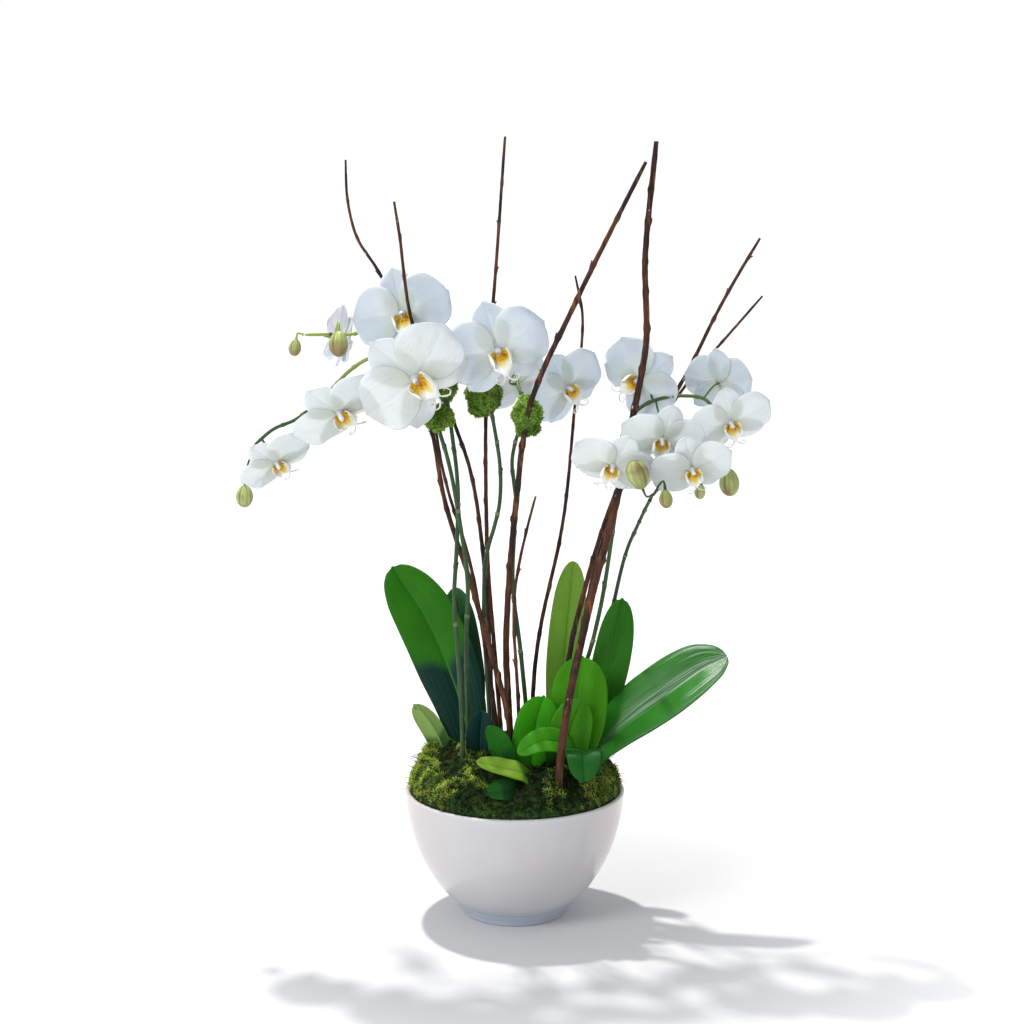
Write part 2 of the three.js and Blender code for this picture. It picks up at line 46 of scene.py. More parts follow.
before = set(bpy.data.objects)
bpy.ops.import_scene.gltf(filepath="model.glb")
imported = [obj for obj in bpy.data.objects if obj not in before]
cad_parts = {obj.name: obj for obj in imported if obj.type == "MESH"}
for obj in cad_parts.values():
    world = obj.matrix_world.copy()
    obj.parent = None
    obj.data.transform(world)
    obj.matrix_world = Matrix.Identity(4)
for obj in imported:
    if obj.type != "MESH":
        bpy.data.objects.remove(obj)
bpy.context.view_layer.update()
MM = 0.001
WELD = 0.002 * MM
UP = Vector((0, 0, 1))
DEPTHWARDS = Vector((0, 1, 0))
CRISP_LIMIT = 0.3  # radians between two faces of the same flat end


# ---------------------------------------------------------------- sizes and colours
def length(name, text, default):
    """A size setting, with its default in millimetres."""
    return FloatProperty(name=name, description=text, default=default * MM,
                         unit="LENGTH", subtype="DISTANCE")


def colour(name, text, default):
    return FloatVectorProperty(name=name, description=text, default=default, size=3,
                               min=0.0, max=1.0, subtype="COLOR")


class OrchidSizes(bpy.types.PropertyGroup):
    """Sizes of the flowers, leaves and stems"""

    petal_length: length("Petal length", "Middle of a flower to the end of a side petal", 50)
    petal_half_width: length("Petal half width", "Half the width of a side petal", 29)
    sepal_length: length("Back sepal length", "Middle of a flower to the end of its back sepal", 47)
    sepal_half_width: length("Back sepal half width", "Half the width of the back sepal", 16.5)
    low_sepal_length: length("Lower sepal length", "Middle of a flower to the end of a lower sepal", 45)
    low_sepal_half_width: length("Lower sepal half width", "Half the width of a lower sepal", 15)
    petal_thickness: length("Petal thickness", "Thickness of petals and sepals", 0.7)
    lip_length: length("Lip length", "Length of the lip's middle lobe", 22)
    stalk_radius: length("Stalk radius", "Radius of a flower's or bud's stalk", 1.35)
    bud_length: length("Bud length", "Length of a standard bud", 25)
    bud_radius: length("Bud radius", "Radius of a standard bud at its fullest", 10)
    leaf_thickness: length("Leaf thickness", "Thickness of a leaf", 1.9)
    bowl_wall: length("Bowl wall", "Thickness of the bowl's wall at the rim", 5.5)
    sprig_length: length("Moss sprig length", "Length of one moss sprig's blades", 4.6)
    sprigs: IntProperty(name="Moss sprigs", description="Number of sprigs on the moss mound",
                        default=7600, min=100)


class OrchidColours(bpy.types.PropertyGroup):
    """Colours of the glaze, flowers, leaves, moss and stems"""

    glaze: colour("Glaze", "Bowl's glaze", (0.60, 0.59, 0.615))
    # a warmer glaze tint, laid on the bowl's left and right sides above the foot and in random patches
    glaze_warm: colour("Warm glaze", "Bowl's glaze where it lies thin", (0.62, 0.55, 0.535))
    petal: colour("Petal", "Petal of a flower in full light", (0.87, 0.87, 0.83))
    petal_cool: colour("Shaded petal", "Petal of a flower lit from behind", (0.74, 0.80, 0.85))
    # painted highlight: the bright rim light laid along a petal's outer edge
    petal_rim: colour("Petal rim", "Outer edge of a petal", (0.93, 0.95, 0.96))
    petal_glow: colour("Petal glow", "Light that comes through a petal", (0.78, 0.82, 0.86))
    petal_vein: colour("Petal vein", "Veins of the petals", (0.48, 0.57, 0.66))
    petal_throat: colour("Petal throat", "Petal next to the flower's middle", (0.84, 0.87, 0.74))
    petal_blush: colour("Petal back", "Rib on the back of the outer petals", (0.78, 0.62, 0.64))
    lip_yellow: colour("Lip yellow", "Yellow of the lip", (0.93, 0.72, 0.04))
    lip_red: colour("Lip red", "Stripes and spots on the lip", (0.60, 0.13, 0.015))
    stalk: colour("Stalk", "Flower stalks and the outer ends of the spikes", (0.30, 0.38, 0.09))
    spike: colour("Spike", "Lower part of the flower spikes", (0.022, 0.062, 0.018))
    bud: colour("Bud", "Closed buds", (0.34, 0.38, 0.11))
    twig: colour("Twig", "Bark of the twigs", (0.085, 0.028, 0.013))
    twig_dark: colour("Dark twig", "Shaded bark of the twigs", (0.022, 0.010, 0.008))
    moss_bright: colour("Bright moss", "Sunlit moss tips", (0.42, 0.55, 0.06))
    # painted shade: the dark moss colour of the mound under the sprigs and of the sprigs in shade
    moss_deep: colour("Deep moss", "Moss in the hollows", (0.008, 0.020, 0.006))
    bark: colour("Potting bark", "Chips under the moss", (0.11, 0.055, 0.03))


# ---------------------------------------------------------------- number helpers
def lerp(a, b, share):
    return a + (b - a) * share


def smoothstep(low, high, x):
    share = min(1.0, max(0.0, (x - low) / (high - low)))
    return share * share * (3 - 2 * share)


def bump_at(x, centre, width):
    """A smooth hump of height 1."""
    return math.exp(-((x - centre) / width) ** 2)


def catmull(points, at):
    """The smooth line through points, where at counts from 0 at the first to len - 1 at the last."""
    last = len(points) - 1
    i = min(max(int(at), 0), last - 1)
    f = at - i
    b, c = points[i], points[i + 1]
    a = points[i - 1] if i else b * 2 - c
    d = points[i + 2] if i + 2 <= last else c * 2 - b
    return 0.5 * (2 * b + (c - a) * f + (2 * a - 5 * b + 4 * c - d) * f ** 2
                  + (3 * b - a - 3 * c + d) * f ** 3)


class Path:
    """A smooth line through points, read by the share of its length."""

    def __init__(self, points, steps=12):
        count = (len(points) - 1) * steps
        self.points = [catmull(points, i / steps) for i in range(count + 1)]
        self.reach = [0.0]
        for a, b in zip(self.points, self.points[1:]):
            self.reach.append(self.reach[-1] + (b - a).length)
        self.length = self.reach[-1]

    def at(self, share):
        goal = min(max(share, 0.0), 1.0) * self.length
        low, high = 0, len(self.reach) - 1
        while high - low > 1:
            mid = (low + high) // 2
            low, high = (mid, high) if self.reach[mid] <= goal else (low, mid)
        gap = self.reach[high] - self.reach[low]
        return self.points[low].lerp(self.points[high], (goal - self.reach[low]) / gap if gap else 0.0)

    def along(self, share):
        step = 0.004
        return (self.at(share + step) - self.at(share - step)).normalized()

    def share_near(self, point, start=0.0):
        """The share from start on at which the line passes nearest to the point."""
        shares = [lerp(start, 1.0, i / 300) for i in range(301)]
        return min(shares, key=lambda s: (self.at(s) - point).length)


# ---------------------------------------------------------------- reading the frame's parts
def merged_copy(node):
    """A copy of a frame part with its corners welded."""
    bm = bmesh.new()
    bm.from_mesh(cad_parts[node].data)
    bmesh.ops.remove_doubles(bm, verts=bm.verts, dist=0.01 * MM)
    bm.normal_update()
    return bm


def rings_of(node):
    """The cross-sections of a swept frame part, from its lower end up, each a list of corners."""
    bm = merged_copy(node)
    lowest = min(bm.verts, key=lambda v: v.co.z)
    cap = [min(lowest.link_faces, key=lambda f: f.normal.z)]
    for face in cap:
        for edge in face.edges:
            for other in edge.link_faces:
                if other not in cap and other.normal.angle(face.normal) < CRISP_LIMIT:
                    cap.append(other)
    ring = {v for face in cap for v in face.verts}
    done = set(ring)
    rings = []
    while ring:
        rings.append([v.co.copy() for v in ring])
        ring = {edge.other_vert(v) for v in ring for edge in v.link_edges} - done
        done |= ring
    bm.free()
    return rings


def middle_of(points):
    return sum(points, Vector()) / len(points)


def stem_of(node):
    """The centre line of a round frame part and its radius at each end."""
    rings = rings_of(node)
    centres = [middle_of(ring) for ring in rings]
    radii = [sum((p - c).length for p in ring) / len(ring) for ring, c in zip(rings, centres)]
    return Path(centres), radii[0], radii[-1]


# ---------------------------------------------------------------- modelling helpers
def sheet(columns, rows, shape):
    """A grid bent into shape(across, along), both running from 0 to 1, with touching corners welded."""
    bm = bmesh.new()
    bm.loops.layers.uv.new("UVMap")
    bmesh.ops.create_grid(bm, x_segments=columns, y_segments=rows, size=0.5, calc_uvs=True)
    for vert in bm.verts:
        vert.co = shape(vert.co.x + 0.5, vert.co.y + 0.5)
    bmesh.ops.remove_doubles(bm, verts=bm.verts, dist=WELD)
    return bm


def thicken(bm, thickness):
    """Closes a thin sheet into a blade of that thickness."""
    copy = bmesh.ops.extrude_face_region(bm, geom=bm.faces[:], use_keep_orig=True)["geom"]
    bm.normal_update()
    for vert in copy:
        if isinstance(vert, bmesh.types.BMVert):
            vert.co -= vert.normal * thickness
    bmesh.ops.recalc_face_normals(bm, faces=bm.faces)
    return bm


def tube(path, sides, rows, radius):
    """A closed round stem along a path; radius(share, turn) gives its radius all the way round."""
    rings = []
    side = None
    for row in range(rows + 1):
        share = min(1.0, max(0.0, (row - 1) / (rows - 2)))
        along = path.along(share)
        if side is None:
            side = DEPTHWARDS if abs(along.y) < 0.8 else Vector((1, 0, 0))
        side = (side - along * side.dot(along)).normalized()
        rings.append((path.at(share), side, along.cross(side), share))

    def shape(across, along):
        row = round(along * rows)
        centre, aside, off, share = rings[row]
        size = 0.0 if row in (0, rows) else radius(share, across)
        turn = math.tau * across
        return centre + (aside * math.cos(turn) + off * math.sin(turn)) * size

    bm = sheet(sides, rows, shape)
    bmesh.ops.recalc_face_normals(bm, faces=bm.faces)
    return bm


def outward(along, turn):
    """The direction straight out of a stem that runs along, turned about it."""
    side = DEPTHWARDS - along * along.y
    return Matrix.Rotation(turn, 3, along) @ side.normalized()


def join(whole, part, material=0):
    """Adds a bmesh to another one, with all its faces in that material slot."""
    for face in part.faces:
        face.material_index = material
    mesh = bpy.data.meshes.new("part")
    part.to_mesh(mesh)
    part.free()
    whole.from_mesh(mesh)
    bpy.data.meshes.remove(mesh)


def new_whole():
    bm = bmesh.new()
    bm.loops.layers.uv.new("UVMap")
    return bm


def finish_piece(name, bm, materials, node=None):
    """Makes the mesh an object of the arrangement, in place and standing for its node."""
    mesh = bpy.data.meshes.new(name)
    bm.to_mesh(mesh)
    bm.free()
    mesh.shade_smooth()
    for material in materials:
        mesh.materials.append(material)
    piece = bpy.data.objects.new(name, mesh)
    bpy.context.scene.collection.objects.link(piece)
    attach(piece, "root")
    if node:
        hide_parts(node)
    return piece


def scatter(template, matrices, chunk=150):
    """One bmesh with a copy of the small template mesh at every matrix."""
    whole = new_whole()
    for start in range(0, len(matrices), chunk):
        group = bmesh.new()
        for matrix in matrices[start:start + chunk]:
            copy = template.copy()
            copy.transform(matrix)
            group.from_mesh(copy)
            bpy.data.meshes.remove(copy)
        join(whole, group)
    return whole


def turned_to(direction, spin=0.0):
    """The rotation that takes +Z to the direction, after a spin about it."""
    turn = UP.rotation_difference(direction.normalized()).to_matrix().to_4x4()
    return turn @ Matrix.Rotation(spin, 4, "Z")


# ---------------------------------------------------------------- shader helpers
class Value:
    """A shader socket that Python arithmetic can be written with."""

    def __init__(self, finish, socket):
        self.finish = finish
        self.socket = socket

    def maths(self, operation, *others):
        sockets = dict(enumerate((self, *others)))
        return self.finish.add("Math", {"operation": operation}, sockets)

    def __add__(self, other):
        return self.maths("ADD", other)

    __radd__ = __add__

    def __mul__(self, other):
        return self.maths("MULTIPLY", other)

    __rmul__ = __mul__

    def __sub__(self, other):
        return self.maths("SUBTRACT", other)

    def __rsub__(self, other):
        return self.finish.add("Math", {"operation": "SUBTRACT"}, {0: other, 1: self})

    def __pow__(self, other):
        return self.maths("POWER", other)

    def __abs__(self):
        return self.maths("ABSOLUTE")

    def wave(self):
        return self.maths("SINE")

    def between(self, low, high):
        """0 below low, 1 above high, and smooth in between; the other way round if low is higher."""
        if low > high:
            return 1 - self.between(high, low)
        return self.finish.add("MapRange", {"interpolation_type": "SMOOTHSTEP"},
                               {"Value": self, "From Min": low, "From Max": high})


class Finish:
    """A material under construction."""

    def __init__(self, name):
        self.material = bpy.data.materials.new(name)
        self.material.use_nodes = True
        self.tree = self.material.node_tree
        self.tree.nodes.clear()
        self.place = self.add("TexCoord", output=3)

    def add(self, kind, settings=None, sockets=None, output=0):
        node = self.tree.nodes.new("ShaderNode" + kind)
        for key, value in (settings or {}).items():
            setattr(node, key, value)
        for key, value in (sockets or {}).items():
            if isinstance(value, Value):
                self.tree.links.new(value.socket, node.inputs[key])
            else:
                node.inputs[key].default_value = value
        return Value(self, node.outputs[output]) if node.outputs else None

    def axis(self, index, vector=None):
        return self.add("SeparateXYZ", None, {0: vector or self.place}, index)

    def root(self):
        """How near the root of its sprig a place is."""
        return self.add("Attribute", {"attribute_name": "tip"}, output=2).between(0.75, 0.1)

    def surface_share(self):
        """The piece's own UV map, and across and along it, each from 0 to 1."""
        uv = self.add("UVMap", {"uv_map": "UVMap"})
        return uv, self.axis(0, uv), self.axis(1, uv)

    def scaled(self, vector, scale):
        return self.add("VectorMath", {"operation": "MULTIPLY"}, {0: vector, 1: scale})

    def noise(self, scale, detail=4.0, roughness=0.55, vector=None):
        return self.add("TexNoise", None, {"Vector": vector or self.place, "Scale": scale,
                                           "Detail": detail, "Roughness": roughness})

    def cells(self, vector, scale, feature="F1"):
        return self.add("TexVoronoi", {"feature": feature}, {"Vector": vector, "Scale": scale})

    def mix(self, share, a, b):
        a, b = (x if isinstance(x, Value) else (*x, 1) for x in (a, b))
        return self.add("Mix", {"data_type": "RGBA"}, {0: share, 6: a, 7: b}, 2)

    def layers(self, base, *coats):
        """The base colour under coats, each a share and a colour."""
        for share, coat in coats:
            base = self.mix(share, base, coat)
        return base

    def bump(self, height, strength, distance):
        return self.add("Bump", None, {"Height": height, "Strength": strength, "Distance": distance})

    def done(self, base, roughness, normal=None, glow=None, glow_share=0.0, **fixed):
        """Ends the material: a Principled surface, with light showing through where glow is a colour."""
        sockets = {"Base Color": base, "Roughness": roughness}
        if normal:
            sockets["Normal"] = normal
        sockets.update({key.replace("_", " "): value for key, value in fixed.items()})
        surface = self.add("BsdfPrincipled", None, sockets)
        if glow is not None:
            through = self.add("BsdfTranslucent", None, {"Color": (*glow, 1)})
            surface = self.add("MixShader", None, {0: glow_share, 1: surface, 2: through})
        self.add("OutputMaterial", None, {0: surface})
        return self.material


def colours():
    return bpy.context.scene.orchid_colours


def sizes():
    return bpy.context.scene.orchid_sizes


def shared(make):
    """The material that the function makes, made once and named after it."""
    return bpy.data.materials.get(make.__name__) or make(make.__name__)


# ---------------------------------------------------------------- materials
def glaze(name):
    f = Finish(name)
    c = colours()
    height = f.axis(2)
    # thin marks where the warm tint goes: random patches and the bowl's left and right sides
    thin = f.noise(9.0, 3.0).between(0.42, 0.7) * 0.4 + abs(f.axis(0)).between(0.05, 0.115) * 0.7
    base = f.layers(
        c.glaze,
        (thin * height.between(0.02, 0.09), c.glaze_warm),
        # painted reflection: the foot and the bowl's lowest band are tinted blue for the sky they mirror
        (height.between(0.026, 0.012) * 0.7, (0.42, 0.48, 0.60)),
        (f.noise(420.0, 2.0).between(0.70, 0.76) * 0.25, (0.45, 0.41, 0.38)))
    ripple = f.noise(38.0, 3.0) + f.noise(260.0, 2.0) * 0.15
    return f.done(base, f.noise(25.0) * 0.12 + 0.16, f.bump(ripple, 0.12, 0.0012),
                  Coat_Weight=0.5, Coat_Roughness=0.08, IOR=1.5)


def moss_shadow(name):
    """Dark moss: painted shade on the mound under the sprigs and on the sprigs in shade, and the dark colour
    of two in three dead stems.
    """
    f = Finish(name)
    fine = f.noise(260.0, 3.0)
    base = f.layers(
        colours().moss_deep,
        (fine.between(0.40, 0.62), (0.030, 0.065, 0.010)),
        (f.noise(60.0, 3.0).between(0.60, 0.70) * 0.6, (0.07, 0.045, 0.015)))
    return f.done(base, 0.85, f.bump(fine, 0.8, 0.002), Specular_IOR_Level=0.15)


# moss_green is the lit copy of the sprig moss; the sprigs in shade take moss_shadow
def moss_green(name):
    f = Finish(name)
    fine = f.noise(300.0, 3.0)
    base = f.layers(
        (0.10, 0.20, 0.015),
        (f.noise(60.0, 2.0).between(0.35, 0.60), colours().moss_bright),
        (fine.between(0.50, 0.70) * 0.5, (0.04, 0.09, 0.010)),
        # painted highlight: small pale green flecks on the sprigs
        (f.noise(520.0, 2.0).between(0.56, 0.68) * 0.8, (0.50, 0.62, 0.14)),
        (f.noise(55.0, 3.0).between(0.62, 0.70) * 0.6, (0.42, 0.34, 0.10)),
        # painted shade: the sprigs darken towards their roots, down in the tuft
        (f.root() * 0.8, (0.006, 0.014, 0.004)))
    return f.done(base, 0.75, f.bump(fine, 0.5, 0.001), glow=(0.25, 0.34, 0.05),
                  glow_share=(1 - f.root() * 0.8) * 0.12, Specular_IOR_Level=0.2)


def bun_green(name):
    f = Finish(name)
    fine = f.noise(300.0, 3.0)
    base = f.layers(
        (0.12, 0.26, 0.02),
        (f.noise(45.0, 3.0).between(0.35, 0.6), (0.32, 0.54, 0.07)),
        (fine.between(0.48, 0.68) * 0.7, (0.025, 0.06, 0.01)),
        (f.noise(520.0, 2.0).between(0.56, 0.68) * 0.7, (0.42, 0.60, 0.16)),
        (f.noise(75.0, 3.0).between(0.62, 0.7) * 0.5, (0.16, 0.10, 0.04)),
        # painted shade: the bun moss sprigs darken towards their roots
        (f.root() * 0.7, (0.015, 0.035, 0.008)))
    return f.done(base, 0.75, f.bump(fine, 0.6, 0.001), glow=(0.22, 0.36, 0.06),
                  glow_share=(1 - f.root() * 0.7) * 0.15, Specular_IOR_Level=0.2)


def chip_brown(name):
    f = Finish(name)
    chip = f.cells(f.place, 90.0)
    grain = f.noise(130.0, vector=f.scaled(f.place, (1, 1, 6)))
    base = f.layers(
        colours().bark,
        (chip.between(0.2, 0.9), (0.23, 0.13, 0.07)),
        (grain.between(0.4, 0.7) * 0.6, (0.04, 0.02, 0.012)))
    return f.done(base, 0.9, f.bump(chip + grain * 0.3, 0.8, 0.004))


def twig_rind(name):
    f = Finish(name)
    c = colours()
    streak = f.noise(210.0, 5.0, 0.7, f.scaled(f.place, (1, 1, 0.12)))
    pore = f.cells(f.scaled(f.place, (1, 1, 0.5)), 95.0).between(0.15, 0.08)
    pale = pore * f.noise(60.0).between(0.54, 0.60)
    base = f.layers(
        c.twig_dark,
        (f.noise(16.0, 4.0).between(0.40, 0.62), c.twig),
        (streak.between(0.52, 0.66) * 0.7, (0.24, 0.085, 0.03)),
        (streak.between(0.46, 0.36) * 0.8, (0.012, 0.006, 0.005)),
        (pale * 0.85, (0.62, 0.54, 0.47)))
    return f.done(base, 0.55, f.bump(streak + pale * 0.6, 0.8, 0.0014), Specular_IOR_Level=0.2)


def spike_green(name):
    f = Finish(name)
    c = colours()
    streak = f.noise(600.0, 3.0, vector=f.scaled(f.place, (1, 1, 0.1)))
    base = f.layers(
        c.spike,
        ((f.axis(2) + f.noise(12.0) * 0.08).between(0.56, 0.66), c.stalk),
        (streak.between(0.45, 0.75) * 0.35, (0.10, 0.19, 0.05)),
        (f.noise(30.0).between(0.62, 0.75) * 0.35, (0.16, 0.07, 0.05)))
    return f.done(base, 0.45, f.bump(streak, 0.25, 0.0005), Specular_IOR_Level=0.3)


def node_ring(name):
    """The dry papery scale at a spike's joint."""
    f = Finish(name)
    vein = f.noise(700.0, vector=f.scaled(f.place, (1, 1, 0.1)))
    base = f.mix(vein.between(0.35, 0.7), (0.17, 0.18, 0.09), (0.05, 0.09, 0.03))
    return f.done(base, 0.6, f.bump(vein, 0.3, 0.0004))


def petal(name, body, shade, blush=0.0):
    f = Finish(name)
    c = colours()
    uv, across, along = f.surface_share()
    aside = abs(across - 0.5) * 2
    wander = f.noise(55.0, 3.0)
    cloud = f.noise(22.0, 3.0)
    ribs = ((across * 95 + wander * 8.0 + aside * along * 9).wave() * 0.5 + 0.5) ** 5
    nets = f.cells(f.scaled(uv, (26, 9, 1)), 1.0, "DISTANCE_TO_EDGE").between(0.05, 0.0)
    vein = ribs * f.noise(90.0).between(0.4, 0.62) * 0.8 + nets * 0.35
    fade = along.between(1.05, 0.3)
    # painted highlight: rim marks the petal's outer edges and tip, which get a bright painted rim light
    rim = (aside ** 3 * 0.75 + (along ** 6) * 0.6 + wander * 0.25).between(0.5, 0.9)
    base = f.layers(
        body,
        (cloud.between(0.35, 0.7), shade),
        (vein * (fade * 0.32 + 0.06), c.petal_vein),
        (rim * 0.75, c.petal_rim),
        (along.between(0.40, 0.02) * 0.75, c.petal_throat))
    if blush:
        rib = aside.between(0.30, 0.0) * along.between(0.05, 0.3) * blush
        base = f.mix(rib, base, c.petal_blush)
    midrib = aside.between(0.08, 0.0) * fade
    normal = f.bump(vein * 0.5 + wander * 1.2 + cloud * 0.8 - midrib, 0.4, 0.0016)
    return f.done(base, 0.45 + cloud * 0.1, normal, glow=c.petal_glow, glow_share=0.48,
                  Sheen_Weight=0.1, Specular_IOR_Level=0.3)


# painted shade: the shaded copy of the petal colours, for the flowers in shade
def petal_cool(name):
    return petal(name, colours().petal_cool, (0.66, 0.73, 0.80))


# painted light: the lit copy of the petal colours, for the flowers in full light
def petal_warm(name):
    return petal(name, colours().petal, (0.80, 0.82, 0.82))


# the rosy-backed flowers also take the painted shade of the shaded petal colour
def petal_blushed(name):
    return petal(name, colours().petal_cool, (0.74, 0.70, 0.76), blush=0.55)


def lip_striped(name):
    f = Finish(name)
    c = colours()
    _, across, along = f.surface_share()
    aside = abs(across - 0.5) * 2
    patch = f.noise(170.0, 3.0)
    stripe = ((across * 30 + patch * 5).wave() * 0.5 + 0.5).between(0.72, 0.95)
    spots = f.cells(f.place, 620.0).between(0.34, 0.22) * f.noise(300.0).between(0.45, 0.55)
    red = (stripe * 0.85 + spots).between(0.1, 0.9) * (along + aside * 0.15).between(0.62, 0.26)
    yellow = (along + aside * 0.3 + patch * 0.4).between(0.98, 0.62)
    base = f.layers(
        (0.86, 0.87, 0.84),
        (yellow, c.lip_yellow),
        (red * 0.85, c.lip_red),
        ((aside * 0.8 + along).between(0.42, 0.1) * 0.7, (0.80, 0.25, 0.015)))
    return f.done(base, 0.32, f.bump(patch + stripe * 0.3, 0.35, 0.0008), glow=c.lip_yellow,
                  glow_share=yellow * (1 - red * 0.85) * 0.25)


def callus_orange(name):
    f = Finish(name)
    spots = f.cells(f.place, 900.0).between(0.45, 0.25)
    base = f.mix(spots, (0.86, 0.50, 0.03), colours().lip_red)
    return f.done(base, 0.35, f.bump(spots, 0.3, 0.0005), glow=(0.80, 0.42, 0.03), glow_share=0.2)


def column_white(name):
    f = Finish(name)
    _, _, along = f.surface_share()
    patch = f.noise(130.0, 3.0)
    base = f.layers(
        (0.86, 0.88, 0.86),
        (patch.between(0.35, 0.75), (0.80, 0.76, 0.83)),
        ((along + patch * 0.2).between(0.90, 1.0) * 0.8, (0.36, 0.10, 0.14)))
    return f.done(base, 0.3, f.bump(patch, 0.2, 0.0006), glow=(0.9, 0.92, 0.94), glow_share=0.2)


def bud_skin(name):
    f = Finish(name)
    _, across, along = f.surface_share()
    vein = ((across * 75).wave() * 0.5 + 0.5) ** 3
    seam = abs((across * 9.42 + 0.6).maths("COSINE")).between(0.93, 1.0)
    patch = f.noise(70.0, 3.0)
    blush = f.noise(40.0).between(0.40, 0.58) * along.between(0.25, 0.8)
    base = f.layers(
        colours().bud,
        (patch.between(0.3, 0.7), (0.52, 0.56, 0.23)),
        (vein * 0.4, (0.15, 0.22, 0.05)),
        (seam * 0.6, (0.13, 0.11, 0.04)),
        (along.between(0.3, 0.0) * 0.6, (0.24, 0.33, 0.08)),
        (blush * 0.7, (0.26, 0.14, 0.08)))
    return f.done(base, 0.42, f.bump(vein + patch, 0.25, 0.0008), glow=(0.38, 0.42, 0.14), glow_share=0.12,
                  Specular_IOR_Level=0.35)


def leaf_green(name, bright, deep, edge, glow_share, gloss):
    """edge is where along the leaf the deep shade of its lower part ends."""
    f = Finish(name)
    uv, across, along = f.surface_share()
    aside = abs(across - 0.5) * 2
    streak = f.noise(1.0, 4.0, vector=f.scaled(uv, (70, 2.5, 1)))
    fibre = (across * 150 + streak).wave() * 0.5 + 0.5
    patch = f.noise(24.0, 3.0)
    lit = (along + patch * 0.06 - aside * 0.05).between(edge - 0.035, edge + 0.035)
    groove = aside.between(0.045, 0.0)
    dull = [0.55 * x for x in bright]
    base = f.layers(
        deep,
        (lit, bright),
        (streak.between(0.42, 0.75) * 0.4, dull),
        (patch.between(0.45, 0.75) * 0.25 * lit, [min(1, 1.7 * x + 0.01) for x in bright]),
        (groove * 0.6, [min(1, 1.5 * x + 0.015) for x in bright]),
        (aside.between(0.93, 1.0) * 0.4, dull))
    if gloss == 1.0:
        # painted sheen: pale streaks near the tip and beside the midrib near the base stand in for the
        # leaf's glossy highlights
        sheen = streak.between(0.50, 0.60) * (along + patch * 0.3 + aside * 0.35).between(0.75, 1.05)
        near = streak.between(0.47, 0.55) * (aside - 0.12).between(0.16, 0.02) * along.between(0.1, 0.3)
        base = f.mix((sheen + near * 0.8) * 0.75, base, (0.62, 0.72, 0.62))
    normal = f.bump(fibre * 0.25 + streak * 0.8 - groove * 1.5, 0.28, 0.0012)
    rough = streak * 0.3 + (0.40 - 0.22 * gloss)
    return f.done(base, rough, normal, glow=bright, glow_share=lit * glow_share,
                  Specular_IOR_Level=0.10 + 0.25 * gloss ** 2)


# ---------------------------------------------------------------- stage and camera
CAMERA = {"at": (0.0, -2.3, 0.836), "aim": (-0.003, 0.0, 0.4275), "lens": 79.9}
FLOOR_FADE = (0.15, 0.75)  # metres from the bowl's middle over which the floor turns from shaded to white


def add_light(name, at, aim, size, power, tint):
    data = bpy.data.lights.new(name, "AREA")
    data.shape = "DISK"
    data.size = size
    data.energy = power
    data.color = tint
    light = bpy.data.objects.new(name, data)
    light.location = at
    light.rotation_euler = (Vector(aim) - Vector(at)).to_track_quat("-Z", "Y").to_euler()
    bpy.context.scene.collection.objects.link(light)


class OBJECT_OT_orchid_stage(bpy.types.Operator):
    """Sets the camera, the soft lights and the pale floor"""

    bl_idname = "orchid.stage"
    bl_label = "Stage"

    def execute(self, context):
        scene = context.scene
        data = bpy.data.cameras.new("camera")
        data.lens = CAMERA["lens"]
        data.sensor_width = 36.0
        camera = bpy.data.objects.new("camera", data)
        camera.location = CAMERA["at"]
        aim = Vector(CAMERA["aim"]) - Vector(CAMERA["at"])
        camera.rotation_euler = aim.to_track_quat("-Z", "Y").to_euler()
        scene.collection.objects.link(camera)
        scene.camera = camera
        scene.view_settings.view_transform = "Standard"
        world = bpy.data.worlds.new("studio")
        world.use_nodes = True
        tree = world.node_tree
        fill = tree.nodes["Background"]
        fill.inputs["Color"].default_value = (0.93, 0.97, 1.0, 1)
        fill.inputs["Strength"].default_value = 0.55
        backdrop = tree.nodes.new("ShaderNodeBackground")
        backdrop.inputs["Color"].default_value = (1.0, 1.0, 1.0, 1)
        seen = tree.nodes.new("ShaderNodeLightPath")
        choice = tree.nodes.new("ShaderNodeMixShader")
        tree.links.new(seen.outputs["Is Camera Ray"], choice.inputs[0])
        tree.links.new(fill.outputs[0], choice.inputs[1])
        tree.links.new(backdrop.outputs[0], choice.inputs[2])
        tree.links.new(choice.outputs[0], tree.nodes["World Output"].inputs["Surface"])
        scene.world = world
        add_light("key_light", (-0.45, 0.75, 2.5), (0, 0, 0.3), 0.12, 62, (1.0, 0.98, 0.95))
        add_light("fill_light", (-1.3, -1.5, 1.5), (0, 0, 0.35), 0.9, 22, (1.0, 1.0, 1.0))
        bm = bmesh.new()
        bmesh.ops.create_circle(bm, cap_ends=True, segments=96, radius=30.0)
        mesh = bpy.data.meshes.new("floor")
        bm.to_mesh(mesh)
        bm.free()
        f = Finish("floor_white")
        away = f.add("VectorMath", {"operation": "LENGTH"}, {0: f.place}, 1)
        open_floor = (away + f.noise(3.0) * 0.05).between(*FLOOR_FADE)
        base = f.mix(open_floor, (0.62, 0.62, 0.63), (0.30, 0.30, 0.30))
        # painted glow: the floor's emission rises from near black by the bowl to near white on the open
        # floor
        white = f.mix(open_floor, (0.06, 0.06, 0.06), (0.92, 0.92, 0.92))
        mesh.materials.append(f.done(base, 0.9, Specular_IOR_Level=0.0, Emission_Color=white,
                                     Emission_Strength=1.0))
        floor = bpy.data.objects.new("floor", mesh)
        scene.collection.objects.link(floor)
        return {"FINISHED"}


